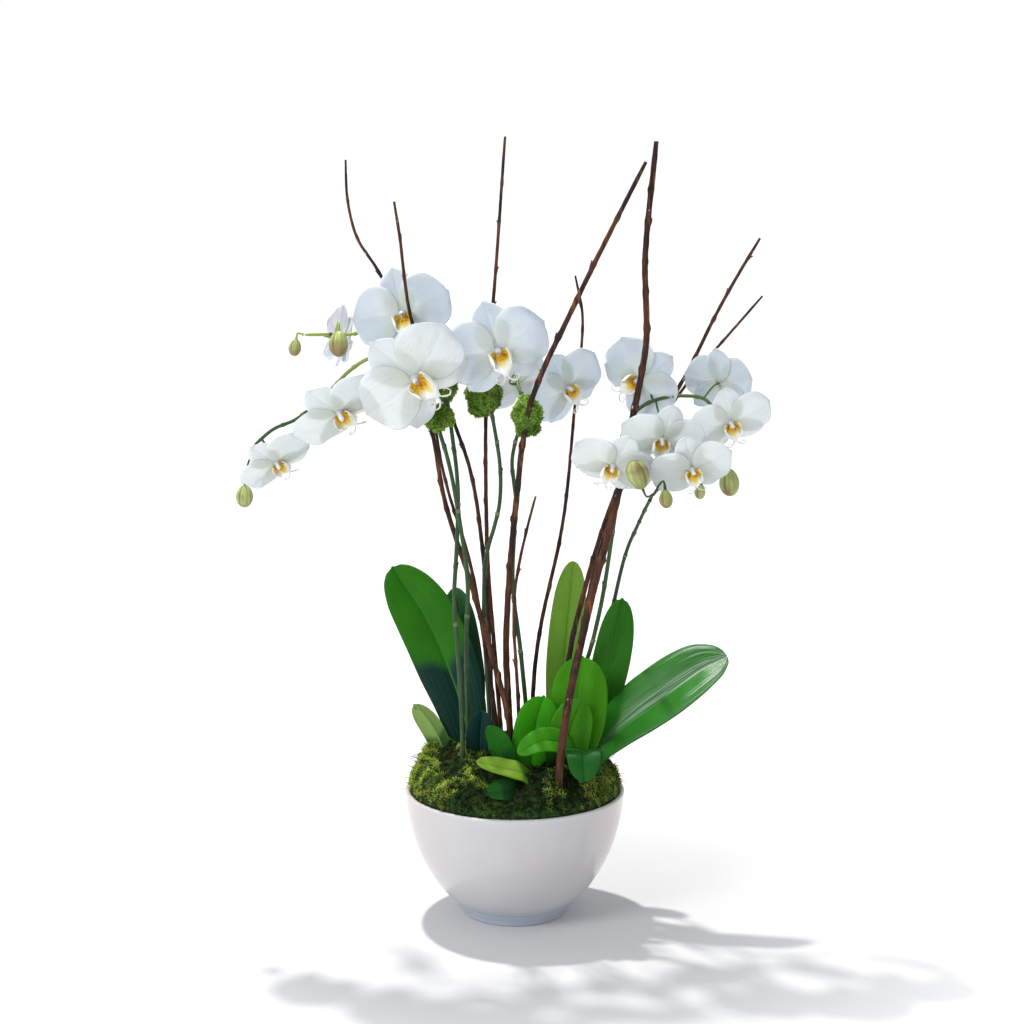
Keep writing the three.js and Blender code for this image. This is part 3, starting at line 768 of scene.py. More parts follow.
# ---------------------------------------------------------------- bowl and filling
# the outside of the bowl as shares of its rim radius and height, from the foot up
BOWL_OUTSIDE = [
    (0.462, 0.0), (0.478, 0.012), (0.492, 0.045), (0.518, 0.080), (0.526, 0.097), (0.546, 0.108),
    (0.674, 0.216), (0.796, 0.373), (0.896, 0.560), (0.967, 0.776), (0.997, 0.950), (1.0, 0.985),
]
BOWL_FLOOR = 0.09  # the floor inside it, as a share of its height


class OBJECT_OT_orchid_bowl(bpy.types.Operator):
    """Throws the footed bowl and gives it its glaze"""

    bl_idname = "orchid.bowl"
    bl_label = "Bowl"

    def execute(self, context):
        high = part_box("bowl")[1]
        rim, top = high.x, high.z
        wall = sizes().bowl_wall
        corners = [Vector((r * rim, 0, z * top)) for r, z in BOWL_OUTSIDE]
        outside = [catmull(corners, i / 4) for i in range(4 * (len(corners) - 1) + 1)]
        floor = BOWL_FLOOR * top
        lip_steps = 8
        middle = rim - wall / 2
        rim_top = [Vector((middle + wall / 2 * math.cos(math.pi * i / lip_steps), 0,
                           top * 0.985 + (top * 0.015) * math.sin(math.pi * i / lip_steps)))
                   for i in range(1, lip_steps)]
        inside = [Vector((p.x - wall, 0, p.z)) for p in reversed(outside) if p.z > floor]
        profile = [Vector((0, 0, 0)), *outside, *rim_top, *inside, Vector((0, 0, floor))]
        bm = bmesh.new()
        verts = [bm.verts.new(p) for p in profile]
        for a, b in zip(verts, verts[1:]):
            bm.edges.new((a, b))
        bmesh.ops.spin(bm, geom=bm.verts[:] + bm.edges[:], axis=UP, cent=(0, 0, 0),
                       angle=math.tau, steps=128, use_merge=True)
        bmesh.ops.remove_doubles(bm, verts=bm.verts, dist=WELD)
        bmesh.ops.recalc_face_normals(bm, faces=bm.faces)
        finish_piece("bowl", bm, [shared(glaze)], "bowl")
        return {"FINISHED"}


class OBJECT_OT_orchid_bark(bpy.types.Operator):
    """Gives the potting bark under the moss its finish"""

    bl_idname = "orchid.bark"
    bl_label = "Potting bark"

    def execute(self, context):
        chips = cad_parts["potting_bark"]
        chips.data.materials.clear()
        chips.data.materials.append(shared(chip_brown))
        return {"FINISHED"}


# ---------------------------------------------------------------- moss
HEAP_AT = Vector((-74, 12)) * MM  # the middle of the higher cushion at the left
HEAP_HEIGHT, HEAP_WIDTH = 13 * MM, 34 * MM
DIP_DEPTH, DIP_WIDTH = 10 * MM, 24 * MM  # the hollow under the lowest leaf in front
DEAD_STEMS = 300


def sprig_mesh(blades, blade_length, radius, spread, rng):
    """A small tuft of pointed blades, standing on its base and pointing up."""
    bm = bmesh.new()
    for i in range(blades):
        lean = 0.15 if i == 0 else rng.uniform(0.4, 1.0) * spread
        turn = Matrix.Rotation(math.tau * i / max(1, blades - 1), 4, "Z") @ Matrix.Rotation(lean, 4, "X")
        reach = blade_length * rng.uniform(0.7, 1.15)
        matrix = turn @ Matrix.Translation((0, 0, reach / 2))
        bmesh.ops.create_cone(bm, cap_ends=True, segments=3, radius1=radius, radius2=0,
                              depth=reach, matrix=matrix)
    bmesh.ops.remove_doubles(bm, verts=bm.verts, dist=WELD)
    tip = bm.verts.layers.float.new("tip")
    for vert in bm.verts:
        vert[tip] = min(1.0, vert.co.length / blade_length)
    mesh = bpy.data.meshes.new("sprig")
    bm.to_mesh(mesh)
    bm.free()
    return mesh


def cushions(x, y):
    """Height of the moss cushions above the even dome, in metres."""
    spot = Vector((x, y, 0))
    broad = 1 - 2 * abs(noise.noise(spot * 24 + Vector((3.1, 0.7, 0))))
    small = 1 - 2 * abs(noise.noise(spot * 60 + Vector((0, 5.2, 0))))
    fine = noise.noise(spot * 260)
    return (11.0 * (broad - 0.5) + 5.5 * (small - 0.5) + 1.2 * fine) * MM


class OBJECT_OT_orchid_moss(bpy.types.Operator):
    """Heaps the moss mound and covers it with sprigs and a few dead stems"""

    bl_idname = "orchid.moss"
    bl_label = "Moss mound"

    def execute(self, context):
        rng = random.Random(11)
        low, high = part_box("moss_mound")
        bowl_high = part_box("bowl")[1]
        radius = high.x
        inner = bowl_high.x - sizes().bowl_wall - 1.5 * MM
        rim_level = bowl_high.z + 2 * MM
        crown = high.z - 4 * MM
        leaf_low, leaf_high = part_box("leaf_front_under")
        leaf = (leaf_low + leaf_high) / 2

        def top_of(x, y):
            share = min(1.0, math.hypot(x, y) / radius)
            rise = math.sqrt(max(0.0, 1 - share ** 2.6))
            fade = smoothstep(1.0, 0.93, share)
            heap = HEAP_HEIGHT * bump_at(math.hypot(x - HEAP_AT.x, y - HEAP_AT.y), 0.0, HEAP_WIDTH)
            dip = DIP_DEPTH * bump_at(math.hypot(x - leaf.x, y - leaf.y), 0.0, DIP_WIDTH)
            return lerp(rim_level, crown, rise) + fade * (cushions(x, y) + heap - dip)

        rows = 84
        skirt = 4

        def shape(across, along):
            turn = math.tau * across
            row = round(along * rows)
            if row == 0:
                reach, level = 0.0, low.z
            elif row < skirt:
                reach, level = inner, lerp(low.z, rim_level, (row - 1) / (skirt - 1))
            else:
                share = math.sin(math.pi / 2 * (1 - (row - skirt) / (rows - skirt)))
                reach = radius * share
                level = top_of(reach * math.cos(turn), reach * math.sin(turn))
            return Vector((reach * math.cos(turn), reach * math.sin(turn), level))

        bm = sheet(220, rows, shape)
        bmesh.ops.recalc_face_normals(bm, faces=bm.faces)
        finish_piece("moss_mound", bm, [shared(moss_shadow)], "moss_mound")
        template = sprig_mesh(5, sizes().sprig_length, 0.62 * MM, 1.15, rng)
        lit, shaded = [], []
        step = 1.5 * MM
        for i in range(sizes().sprigs):
            reach = radius * math.sqrt(rng.random())
            turn = rng.uniform(0, math.tau)
            x, y = reach * math.cos(turn), reach * math.sin(turn)
            level = top_of(x, y)
            normal = Vector((top_of(x - step, y) - top_of(x + step, y),
                             top_of(x, y - step) - top_of(x, y + step), 2 * step)).normalized()
            size = rng.uniform(0.6, 1.35)
            sunny = cushions(x, y) / MM + 22 * (abs(x) / radius - 0.58) + rng.uniform(-2.5, 2.5)
            (lit if sunny > 0 else shaded).append(
                Matrix.Translation((x, y, level - 0.8 * MM))
                @ turned_to(normal, rng.uniform(0, math.tau)) @ Matrix.Scale(size, 4))
        sprigs = scatter(template, lit)
        join(sprigs, scatter(template, shaded), 1)
        finish_piece("moss_sprigs", sprigs, [shared(moss_green), shared(moss_shadow)])
        whole = new_whole()
        for i in range(DEAD_STEMS):
            turn = rng.uniform(0, math.tau)
            reach = radius * rng.uniform(0.72, 0.99)
            foot = Vector((reach * math.cos(turn), reach * math.sin(turn), 0))
            foot.z = top_of(foot.x, foot.y)
            outward = Vector((math.cos(turn + rng.uniform(-1, 1)), math.sin(turn + rng.uniform(-1, 1)), 0))
            run = rng.uniform(6, 17) * MM
            path = Path([foot, foot + outward * run * 0.6 + UP * run * rng.uniform(0, 0.5),
                         foot + outward * run + UP * run * rng.uniform(-0.6, 0.5)])
            join(whole, tube(path, 4, 8, lambda share, across: lerp(0.35, 0.12, share) * MM), min(1, i % 3))
        finish_piece("dead_stems", whole, [shared(twig_rind), shared(moss_shadow)])
        return {"FINISHED"}


class OBJECT_OT_orchid_clumps(bpy.types.Operator):
    """Makes the bun moss tied on the stems"""

    bl_idname = "orchid.clumps"
    bl_label = "Moss clumps"

    def execute(self, context):
        rng = random.Random(23)
        template = sprig_mesh(4, 2.8 * MM, 0.8 * MM, 1.2, rng)
        for number in range(1, 5):
            node = f"moss_clump_{number}"
            low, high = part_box(node)
            centre, half = (low + high) / 2, (high - low) / 2
            bm = new_whole()
            bmesh.ops.create_icosphere(bm, subdivisions=5, radius=1.0)
            seed = Vector((7.3 * number, 0, 0))
            for vert in bm.verts:
                way = vert.co.normalized()
                buns = noise.noise(way * 2.0 + seed) * 0.24 - abs(noise.noise(way * 4.5 + seed)) * 0.26
                fine = noise.noise(way * 14 + seed) * 0.05
                vert.co = centre + way * (0.88 + buns + fine) * half
            bm.normal_update()
            spots = rng.sample([(v.co.copy(), v.normal.copy()) for v in bm.verts], 1500)
            matrices = [Matrix.Translation(at - way * 0.6 * MM) @ turned_to(way, rng.uniform(0, math.tau))
                        @ Matrix.Scale(rng.uniform(0.6, 1.2), 4) for at, way in spots]
            join(bm, scatter(template, matrices))
            finish_piece(node, bm, [shared(bun_green)], node)
        return {"FINISHED"}


# ---------------------------------------------------------------- leaves
# bright colour, colour of the painted shade on the lower part, where that painted shade ends, light let
# through, gloss
LEAF_LOOKS = {
    "leaf_left_large": ((0.035, 0.22, 0.008), (0.003, 0.026, 0.026), 0.32, 0.35, 0.5),
    "leaf_left_back": ((0.05, 0.17, 0.06), (0.006, 0.05, 0.028), 0.6, 0.25, 0.8),
    "leaf_left_small": ((0.30, 0.46, 0.13), (0.05, 0.14, 0.03), 0.35, 0.2, 0.5),
    # painted shade: this leaf is coloured dark all over for the shade it stands in
    "leaf_left_inner": ((0.012, 0.09, 0.035), (0.004, 0.03, 0.03), 0.9, 0.2, 0.5),
    "leaf_right_upright": ((0.30, 0.52, 0.09), (0.04, 0.16, 0.02), 0.12, 0.45, 0.3),
    "leaf_right_dark": ((0.035, 0.21, 0.012), (0.008, 0.07, 0.015), 0.22, 0.3, 0.5),
    "leaf_front_upright": ((0.085, 0.38, 0.008), (0.02, 0.14, 0.01), 0.2, 0.4, 0.5),
    "leaf_young_bright": ((0.06, 0.42, 0.008), (0.02, 0.12, 0.02), 0.12, 0.4, 0.4),
    "leaf_front_right": ((0.07, 0.32, 0.01), (0.02, 0.11, 0.012), 0.3, 0.35, 0.4),
    "leaf_long_arching": ((0.022, 0.20, 0.010), (0.03, 0.17, 0.015), 0.15, 0.25, 1.0),
    "leaf_right_behind": ((0.10, 0.36, 0.02), (0.05, 0.26, 0.012), 0.2, 0.4, 0.5),
    "leaf_front_left": ((0.07, 0.38, 0.012), (0.02, 0.15, 0.02), 0.25, 0.4, 0.5),
    "leaf_front_folded": ((0.02, 0.20, 0.012), (0.01, 0.09, 0.01), 0.4, 0.3, 0.6),
    "leaf_front_low": ((0.28, 0.48, 0.05), (0.06, 0.17, 0.015), 0.3, 0.4, 0.4),
    # painted shade: these two leaves are coloured dark all over for the shade they hang in
    "leaf_front_under": ((0.012, 0.10, 0.012), (0.006, 0.05, 0.01), 0.5, 0.2, 0.5),
    "leaf_front_drooping": ((0.012, 0.12, 0.012), (0.012, 0.10, 0.012), 0.5, 0.2, 0.5),
}
# how much wider some leaves are than their frame parts
FULLER = {"leaf_young_bright": 1.25, "leaf_front_drooping": 1.3,
          "leaf_front_left": 1.15, "leaf_front_right": 1.1}
WIDEST = 0.6  # the share of its length from which a leaf narrows to its tip


def leaf_lines(node):
    """The midrib and the two edges of a leaf, each as points from the base to the tip."""
    midrib, left, right = [], [], []
    for ring in rings_of(node):
        a, b = max(((p, q) for p in ring for q in ring), key=lambda pair: (pair[0] - pair[1]).length)
        if left:
            kept = (a - left[-1]).length + (b - right[-1]).length
            crossed = (b - left[-1]).length + (a - right[-1]).length
            if kept > crossed:
                a, b = b, a
        across = (b - a).normalized()
        centre = (a + b).dot(across) / 2
        inner = sorted(ring, key=lambda p: abs(p.dot(across) - centre))[:2]
        midrib.append(middle_of(inner))
        left.append(a)
        right.append(b)
    return midrib, left, right


def leaf_closing(reach):
    """How much rounder a leaf's end is than the straight-sided frame part's, by the share of its length."""
    if reach < WIDEST:
        return 1.0
    beyond = ((reach - WIDEST) / (1 - WIDEST)) ** 2.5
    rough = math.sqrt(max(0.03, 1 - beyond))
    return math.sqrt(max(0.0, 1 - beyond ** 1.25)) / rough


class OBJECT_OT_orchid_leaves(bpy.types.Operator):
    """Grows the strap leaves"""

    bl_idname = "orchid.leaves"
    bl_label = "Leaves"

    def execute(self, context):
        for number, (node, look) in enumerate(LEAF_LOOKS.items()):
            midrib, left, right = leaf_lines(node)
            last = len(midrib) - 1
            rows = 56
            seed = Vector((number * 3.7, 0, 0))

            def shape(across, along):
                row = round(along * rows)
                share = 1 - (1 - row / rows) ** 1.5
                at = share * last
                rib = catmull(midrib, at)
                side = across * 2 - 1
                away = catmull(left if side < 0 else right, at) - rib
                lift = catmull(left, at) + catmull(right, at) - rib * 2
                lift = lift.normalized() if lift.length > 0 else UP
                reach = 1 - (1 - share) ** 1.5
                closing = leaf_closing(reach)
                away = away * closing * FULLER.get(node, 1.0)
                half = away.length
                out = abs(side)
                arch = 0.16 * half * out * (1 - out) - 0.05 * half * out ** 4
                groove = 0.9 * MM * bump_at(out, 0.0, 0.06) * min(1.0, closing)
                ripple = noise.noise(Vector((side * 1.3, share * 4, 0)) + seed) * 0.045 * half * out
                return rib + away * out + lift * (arch + ripple) - lift * groove

            bm = thicken(sheet(28, rows, shape), sizes().leaf_thickness)
            finish_piece(node, bm, [leaf_green(node, *look)], node)
        return {"FINISHED"}


# ---------------------------------------------------------------- twigs
TWIGS = ["twig_left_long", "twig_left_behind", "twig_left_short", "twig_middle", "twig_upright",
         "twig_slanted", "twig_back", "twig_right_long", "twig_right_behind", "twig_stub"]


class OBJECT_OT_orchid_twigs(bpy.types.Operator):
    """Makes the bare twigs with their joints, buds and cut ends"""

    bl_idname = "orchid.twigs"
    bl_label = "Twigs"

    def execute(self, context):
        for number, node in enumerate(TWIGS):
            rng = random.Random(100 + number)
            path, thick, thin = stem_of(node)
            joints = []
            spot = 0.3 * rng.random() + 0.12
            while spot < 0.97:
                joints.append((spot, rng.random(), rng.uniform(0.6, 1.2)))
                spot += rng.uniform(24, 52) * MM / path.length
            seed = Vector((number * 5.1, 0, 0))
            joint_width = 3.2 * MM / path.length
            rows = int(path.length / (2.6 * MM))

            def radius(share, across):
                turn = math.tau * across
                base = lerp(thick, thin, share)
                around = Vector((math.cos(turn), math.sin(turn), share * path.length * 90))
                rough = 1 + 0.14 * noise.noise(around * 1.3 + seed)
                swell = sum(size * (0.16 + 0.34 * max(0.0, math.cos(turn - math.tau * way)))
                            * bump_at(share, at, joint_width) for at, way, size in joints)
                return base * rough * (1 + swell) * lerp(1.0, 0.8, smoothstep(0.97, 1.0, share))

            whole = new_whole()
            join(whole, tube(path, 14, rows, radius))
            for at, way, size in joints:
                along = path.along(at)
                out = outward(along, math.tau * way)
                tip = (out * 0.8 + along).normalized()
                reach = 3.4 * MM * size
                foot = path.at(at) + out * lerp(thick, thin, at) * 0.8
                bud = Path([foot - tip * 1.2 * MM, foot + tip * reach * 0.5, foot + tip * reach])
                join(whole, tube(bud, 7, 8, lambda s, a: lerp(0.95, 0.3, s ** 1.5) * MM * size))
            finish_piece(node, whole, [shared(twig_rind)], node)
        return {"FINISHED"}


# ---------------------------------------------------------------- flower spikes
SPIKES = ["flower_spike_left_low", "flower_spike_left_high", "flower_spike_middle",
          "flower_spike_front", "flower_spike_right_behind", "flower_spike_right"]


def scale_leaf(path, at, stem_radius, way, reach, width):
    """A pointed scale that clasps the stem at that share of its length."""
    foot = path.at(at)
    along = path.along(at)
    out = outward(along, way)
    across_way = along.cross(out)

    def shape(across, along_share):
        turn = (across - 0.5) * width * math.sqrt(max(0.0, 1 - along_share ** 1.6))
        gap = stem_radius + 0.25 * MM + 1.6 * MM * along_share ** 2
        return (foot + along * reach * (along_share - 0.15) + out * gap * math.cos(turn)
                + across_way * gap * math.sin(turn))

    return thicken(sheet(8, 6, shape), 0.35 * MM)


class OBJECT_OT_orchid_spikes(bpy.types.Operator):
    """Makes the arching flower spikes with their joints and scales"""

    bl_idname = "orchid.spikes"
    bl_label = "Flower spikes"

    def execute(self, context):
        for number, node in enumerate(SPIKES):
            rng = random.Random(300 + number)
            path, thick, thin = stem_of(node)
            joints = []
            spot = 0.16 + 0.08 * rng.random()
            while spot < 0.98:
                joints.append(spot)
                gap = lerp(62, 26, smoothstep(0.5, 0.8, spot)) * MM
                spot += gap * rng.uniform(0.85, 1.15) / path.length
            width = 2.2 * MM / path.length

            def radius(share, across):
                swell = sum(0.20 * bump_at(share, at, width) for at in joints)
                kink = 0.04 * noise.noise(Vector((share * 30, across * 2, number)))
                end = lerp(1, 0.7, smoothstep(0.99, 1, share))
                return lerp(thick, thin, share) * (1 + swell + kink) * end

            whole = new_whole()
            join(whole, tube(path, 16, int(path.length / (2.2 * MM)), radius))
            for i, at in enumerate(joints):
                way = math.pi * i + rng.uniform(-0.4, 0.4)
                scale = scale_leaf(path, at, lerp(thick, thin, at), way, lerp(8, 4, at) * MM, 3.0)
                join(whole, scale, 1)
            materials = [shared(spike_green), shared(node_ring)]
            finish_piece(node, whole, materials, node)
        return {"FINISHED"}


def carried_stalk(neck, back, straight, carrier):
    """The stalk's line from the flower or bud to the nearest point of its spike."""
    aim = neck + back * 18 * MM
    path = carrier[0]
    root = path.at(path.share_near(aim, 0.6))
    bend = neck + back * straight
    toward = (bend - root).normalized()
    end = root + toward * 1.0 * MM
    reach = (bend - end).length * 0.4
    corners = [bend, bend + back * reach, end + toward * reach * 0.5, end]
    curve = []
    steps = 12
    for i in range(steps + 1):
        t = i / steps
        weights = ((1 - t) ** 3, 3 * t * (1 - t) ** 2, 3 * t * t * (1 - t), t ** 3)
        curve.append(sum((p * w for p, w in zip(corners, weights)), Vector()))
    return Path([neck, *curve], 3)


def stalk(neck, back, straight, carrier, size):
    path = carried_stalk(neck, back, straight, carrier)
    thickness = sizes().stalk_radius

    def radius(share, across):
        flare = 0.5 * smoothstep(0.25, 0.0, share) + 0.4 * smoothstep(0.93, 1.0, share)
        grooves = 0.05 * math.cos(3 * math.tau * across)
        return thickness * size * (0.85 + flare + grooves)

    return tube(path, 12, max(12, int(path.length / (1.6 * MM))), radius)


# ---------------------------------------------------------------- blossoms
LOW, HIGH, MIDDLE, FRONT, REAR, RIGHT = SPIKES
# degrees that a flower faces to the right and down, how far it leans, its size and its spike
BLOSSOMS = [
    (34, 40, 58, 0.84, LOW), (32, 40, 58, 1.04, LOW), (10, 12, 54, 1.22, LOW), (-4, -4, 16, 1.04, HIGH),
    (112, 10, 8, 0.82, HIGH), (8, 4, 18, 1.10, MIDDLE), (32, 14, 36, 0.92, FRONT), (140, 5, 0, 0.85, FRONT),
    (-26, 8, -56, 0.95, RIGHT), (0, 34, -12, 0.88, RIGHT), (-12, 36, -28, 0.90, RIGHT),
    (12, 30, 18, 0.86, REAR), (150, -5, 0, 0.78, RIGHT), (14, 30, 20, 0.90, RIGHT),
]
FROM_BEHIND = (5, 8)  # the flowers that show the rosy backs of their petals
IN_SHADE = (4, 6, 7, 9, 13)  # the flowers in shade
LIP_THICKNESS = 0.7 * MM
LOW_SEPAL_ANGLE = 52  # degrees between straight down and each lower sepal


def flower_turn(right, down, lean):
    """The rotation of a flower made facing +Z with its back sepal along +Y."""
    yaw, pitch = math.radians(right), math.radians(down)
    ahead = Vector((math.sin(yaw) * math.cos(pitch), -math.cos(yaw) * math.cos(pitch), -math.sin(pitch)))
    up = (UP - ahead * ahead.z).normalized()
    up = Matrix.Rotation(math.radians(lean), 3, ahead) @ up
    return Matrix((up.cross(ahead), up, ahead)).transposed()


def flower_middle(node, turn, size):
    """Where the flower's middle is, from the frame part's lip, face and side petals."""
    points = [turn.transposed() @ v.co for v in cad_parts[node].data.vertices]
    face = max(p.z for p in points) - 15.0 * MM * size
    near = [p for p in points if face - 9 * MM * size < p.z]
    side = (max(p.x for p in near) + min(p.x for p in near)) / 2
    lip = min(p.y for p in points if p.z > face + 4 * MM * size and abs(p.x - side) < 6 * MM * size)
    return turn @ Vector((side, lip + 22.3 * MM * size, face))


def tepal(long, half, degrees, level, curl, upper, phase, ruffle):
    """One petal or sepal, facing +Z and pointing along its angle; upper makes its left half fuller."""
    angle = math.radians(degrees)
    out = Vector((math.cos(angle), math.sin(angle), 0))
    side = Vector((-math.sin(angle), math.cos(angle), 0))

    def shape(across, along):
        t = 1 - (1 - along) ** 1.7
        x = across * 2 - 1
        widest = 0.51 - 0.07 * upper * x
        span = (t - widest) / ((1 - widest) if t > widest else widest + 0.02)
        blade = math.sqrt(max(0.0, 1 - abs(span) ** 2.0))
        claw = 0.13 * smoothstep(1.0, 0.9, t)
        width = half * max(claw, blade) * (1 + 0.07 * upper * x)
        aside = x * width
        edge = abs(x)
        reach = long * (0.06 + 0.94 * t) * (1 - 0.05 * edge ** 2 * smoothstep(0.7, 1, t))
        rise = level * MM + curl * MM * (0.8 * t * (1 - t) - t * t)
        rise += 0.13 * (math.sqrt(aside ** 2 + (2 * MM) ** 2) - 2 * MM) - 0.10 * abs(aside) * edge ** 3
        waves = math.sin(6.5 * t + 2.2 * x + phase) * 1.2 + math.sin(14 * t - 3 * x + 2 * phase) * 0.25
        rise += ruffle * waves * MM * edge ** 2.5 * smoothstep(0.15, 0.5, t)
        rise -= 0.8 * MM * bump_at(x, 0, 0.09) * smoothstep(1.0, 0.5, t)
        return out * reach + side * aside + Vector((0, 0, rise))

    return thicken(sheet(24, 40, shape), sizes().petal_thickness)


def line_of(points):
    """The smooth line through points in millimetres."""
    return Path([Vector(p) * MM for p in points])


def ribbon(points, width, columns, rows, cup, across_way=Vector((1, 0, 0))):
    """A blade along a line through points in millimetres, width(share) to each side and cupped."""
    path = line_of(points)

    def shape(across, along):
        way = path.along(along)
        side = (across_way - way * across_way.dot(way)).normalized()
        off = side.cross(way)
        x = across * 2 - 1
        half = width(along) * MM
        return path.at(along) + side * x * half + off * cup * half * x * x

    return thicken(sheet(columns, rows, shape), LIP_THICKNESS)


def lip_parts():
    """The lip: middle lobe, two side lobes, callus and the two curled tendrils."""
    long = sizes().lip_length / MM
    parts = []

    def lobe_width(s):
        return lerp(2.6, 8.8, smoothstep(0.05, 0.5, s)) * lerp(1.0, 0.25, smoothstep(0.62, 0.98, s))

    tongue = [(0, -1.5, 1), (0, -5, 6), (0, -long * 0.5, 9.5), (0, -long * 0.78, 9.5), (0, -long, 7.5)]
    parts.append((ribbon(tongue, lobe_width, 14, 20, 0.35), 1))
    for hand in (-1, 1):
        wing = [(hand * 2.5, -3, 1), (hand * 7.5, -5.5, 5), (hand * 10, -3.5, 10), (hand * 8.2, 0.5, 14.5)]
        spread = ribbon(wing, lambda s: 2.2 + 6.0 * math.sin(math.pi * min(1, s * 0.8 + 0.1)) - 4.2 * s ** 6,
                        12, 14, -0.3 * hand, Vector((0, 1, -0.25)))
        parts.append((spread, 1))
        curl = [(hand * 0.8, -long + 0.5, 7.6), (hand * 2.5, -long - 3.5, 7), (hand * 7, -long - 6, 8.5),
                (hand * 10.5, -long - 3, 11), (hand * 9.5, -long + 1.5, 12.5), (hand * 6.5, -long + 1, 11.5)]
        parts.append((tube(line_of(curl), 8, 26, lambda s, a: lerp(0.95, 0.35, s) * MM), 2))
    for hand in (-1, 1):
        bump = line_of([(hand * 1.6, -4.5, 5.0), (hand * 2.0, -5.0, 8.5), (hand * 1.2, -4.2, 10.5)])
        parts.append((tube(bump, 10, 12, lambda s, a: 1.5 * math.sin(math.pi * (0.3 + 0.62 * s)) * MM), 4))
    return parts


def column_parts():
    """The column with its hooded end, and the short neck behind the flower."""
    stem = line_of([(0, 0.5, -1.5), (0, 1.2, 3), (0, 2.2, 7), (0, 1.6, 10), (0, -0.6, 11.4)])
    hood = tube(stem, 16, 22, lambda s, a: MM * (2.7 - 0.9 * s + 0.5 * bump_at(s, 0.82, 0.15)
                                                 - 1.3 * smoothstep(0.9, 1, s)))
    neck = line_of([(0, 0, -4.2), (0, 0, -1), (0, 0, 2)])
    hub = tube(neck, 18, 12, lambda s, a: MM * lerp(2.4, 4.6, smoothstep(0, 0.7, s)))
    return [(hood, 2), (hub, 0)]


class OBJECT_OT_orchid_blossoms(bpy.types.Operator):
    """Makes the open flowers on their stalks"""

    bl_idname = "orchid.blossoms"
    bl_label = "Blossoms"

    def execute(self, context):
        s = sizes()
        carriers = {name: stem_of(name) for name in SPIKES}
        for number, (right, down, lean, size, spike) in enumerate(BLOSSOMS, 1):
            node = f"blossom_{number}"
            rng = random.Random(500 + number)
            turn = flower_turn(right, down, lean)
            middle = flower_middle(node, turn, size)
            bend = [rng.uniform(-1.5, 1.5) for i in range(5)]
            tilt = [rng.uniform(-3, 3) for i in range(5)]
            phase = rng.uniform(0, 6)
            back_sepal = (s.sepal_length, s.sepal_half_width)
            low_sepal = (s.low_sepal_length, s.low_sepal_half_width)
            petal_size = (s.petal_length, s.petal_half_width)
            # size, degrees, level, curl, fuller side and ruffle, in the order that they are joined
            tepals = [(back_sepal, 90, -1.2, 5, 0, 1.0),
                      (low_sepal, 270 - LOW_SEPAL_ANGLE, -1.6, 6, 0.5, 1.0),
                      (low_sepal, 270 + LOW_SEPAL_ANGLE, -1.6, 6, -0.5, 1.0),
                      (petal_size, 12, 0.6, 5, 1, 1.3), (petal_size, 168, 0.9, 5, -1, 1.3)]
            parts = [(tepal(*size_of, degrees + tilt[i], level, curl + bend[i], upper, phase + i, ruffle), 0)
                     for i, (size_of, degrees, level, curl, upper, ruffle) in enumerate(tepals)]
            parts += [*lip_parts(), *column_parts()]
            whole = new_whole()
            for part, material in parts:
                join(whole, part, material)
            place = Matrix.Translation(middle) @ turn.to_4x4() @ Matrix.Scale(size, 4)
            bmesh.ops.transform(whole, matrix=place, verts=whole.verts)
            back = turn @ Vector((0, 0, -1))
            neck = middle + back * 3 * MM * size
            join(whole, stalk(neck, back, 6 * MM, carriers[spike], 1.0), 3)
            # painted light and shade: each flower takes the lit or the shaded copy of the petal colours
            skin = petal_cool if number in IN_SHADE else petal_blushed if number in FROM_BEHIND else petal_warm
            materials = [shared(skin), shared(lip_striped),
                         shared(column_white), shared(spike_green),
                         shared(callus_orange)]
            finish_piece(node, whole, materials, node)
        return {"FINISHED"}


# ---------------------------------------------------------------- buds
# the way the bud's tip points, its size and its spike
BUDS = [
    ((-0.05, 0, -1), 0.95, LOW), ((-0.15, -0.1, -1), 0.7, HIGH), ((0, -0.3, -0.95), 1.08, HIGH),
    ((-0.35, -0.1, 0.93), 1.25, REAR), ((0.1, -0.3, -1), 0.75, REAR), ((-0.1, 0, -1), 0.62, RIGHT),
    ((0.1, 0, -1), 1.15, RIGHT),
]


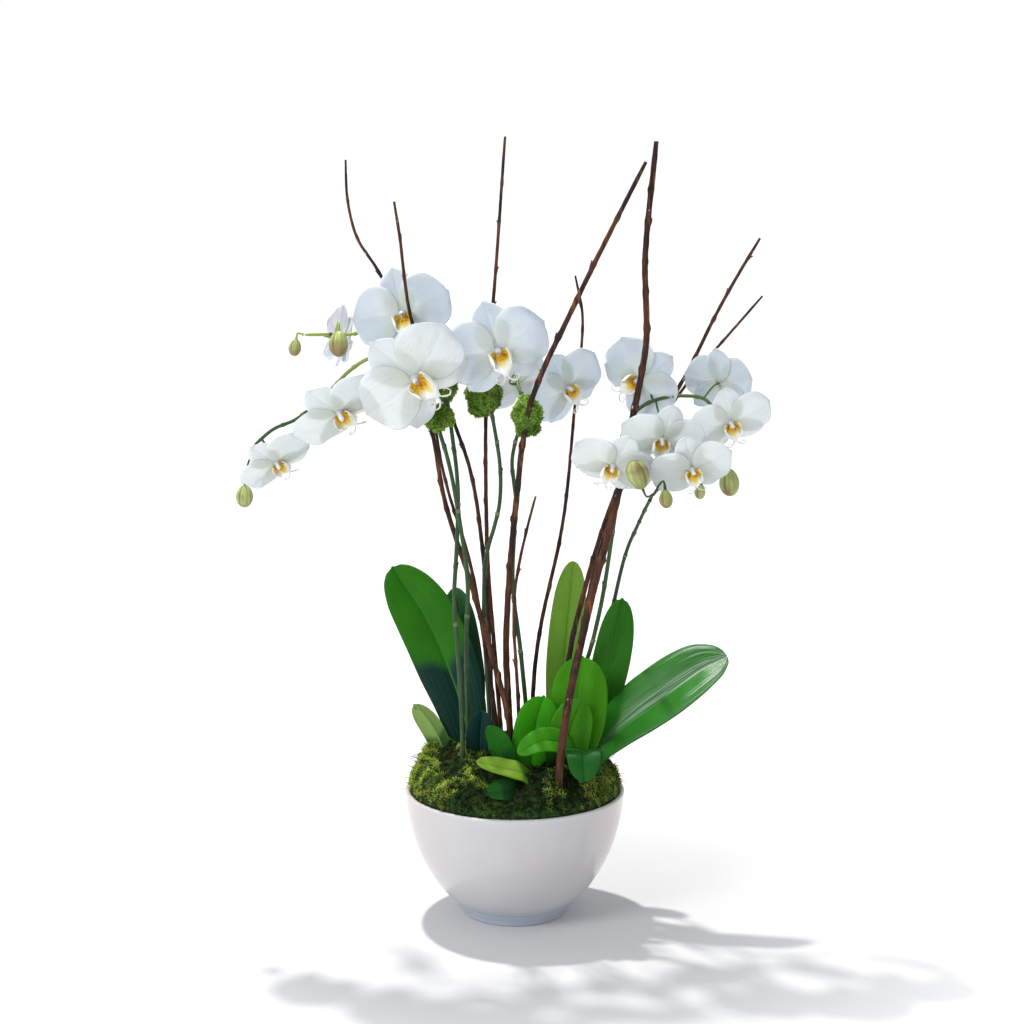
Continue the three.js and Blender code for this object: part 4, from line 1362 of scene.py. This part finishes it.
class OBJECT_OT_orchid_buds(bpy.types.Operator):
    """Makes the closed buds on their stalks"""

    bl_idname = "orchid.buds"
    bl_label = "Buds"

    def execute(self, context):
        s = sizes()
        carriers = {name: stem_of(name) for name in SPIKES}
        for number, (hang, size, spike) in enumerate(BUDS, 1):
            node = f"bud_{number}"
            ahead = Vector(hang).normalized()
            tip = max((v.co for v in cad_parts[node].data.vertices), key=lambda p: p.dot(ahead))
            half = s.bud_length * size / 2
            middle = tip - ahead * half
            line = Path([middle - ahead * half, middle, middle + ahead * half])

            def radius(share, across):
                angle = math.pi * min(1.0, max(0.0, share))
                body = math.sin(angle) ** 0.5 * (1 - 0.07 * math.cos(angle))
                seam = 1 - 0.13 * abs(math.cos(1.5 * math.tau * across + 0.6)) ** 10
                return s.bud_radius * size * body * seam * 0.92 + 0.1 * MM

            whole = new_whole()
            join(whole, tube(line, 30, 28, radius))
            neck = middle - ahead * (half - 1.5 * MM * size)
            join(whole, stalk(neck, -ahead, 6 * MM, carriers[spike], 0.9), 1)
            materials = [shared(bud_skin), shared(spike_green)]
            finish_piece(node, whole, materials, node)
        return {"FINISHED"}


# ---------------------------------------------------------------- panel and registration
STEPS = [OBJECT_OT_orchid_stage, OBJECT_OT_orchid_bowl, OBJECT_OT_orchid_bark, OBJECT_OT_orchid_moss,
         OBJECT_OT_orchid_clumps, OBJECT_OT_orchid_leaves, OBJECT_OT_orchid_twigs, OBJECT_OT_orchid_spikes,
         OBJECT_OT_orchid_blossoms, OBJECT_OT_orchid_buds]


class VIEW3D_PT_orchid(bpy.types.Panel):
    """Lists the pieces of the arrangement and their sizes and colours"""

    bl_idname = "VIEW3D_PT_orchid"
    bl_label = "Potted orchids"
    bl_space_type = "VIEW_3D"
    bl_region_type = "UI"
    bl_category = "Orchids"

    def draw(self, context):
        for step in STEPS:
            self.layout.operator(step.bl_idname)
        for group in (context.scene.orchid_sizes, context.scene.orchid_colours):
            for name in group.bl_rna.properties.keys():
                if name not in ("rna_type", "name"):
                    self.layout.prop(group, name)


CLASSES = [OrchidSizes, OrchidColours, *STEPS, VIEW3D_PT_orchid]


def register():
    for cls in CLASSES:
        bpy.utils.register_class(cls)
    bpy.types.Scene.orchid_sizes = PointerProperty(type=OrchidSizes)
    bpy.types.Scene.orchid_colours = PointerProperty(type=OrchidColours)


def unregister():
    del bpy.types.Scene.orchid_colours
    del bpy.types.Scene.orchid_sizes
    for cls in reversed(CLASSES):
        bpy.utils.unregister_class(cls)


def main():
    register()
    for step in STEPS:
        getattr(bpy.ops.orchid, step.bl_idname.split(".")[1])()


if __name__ == "__main__":
    main()
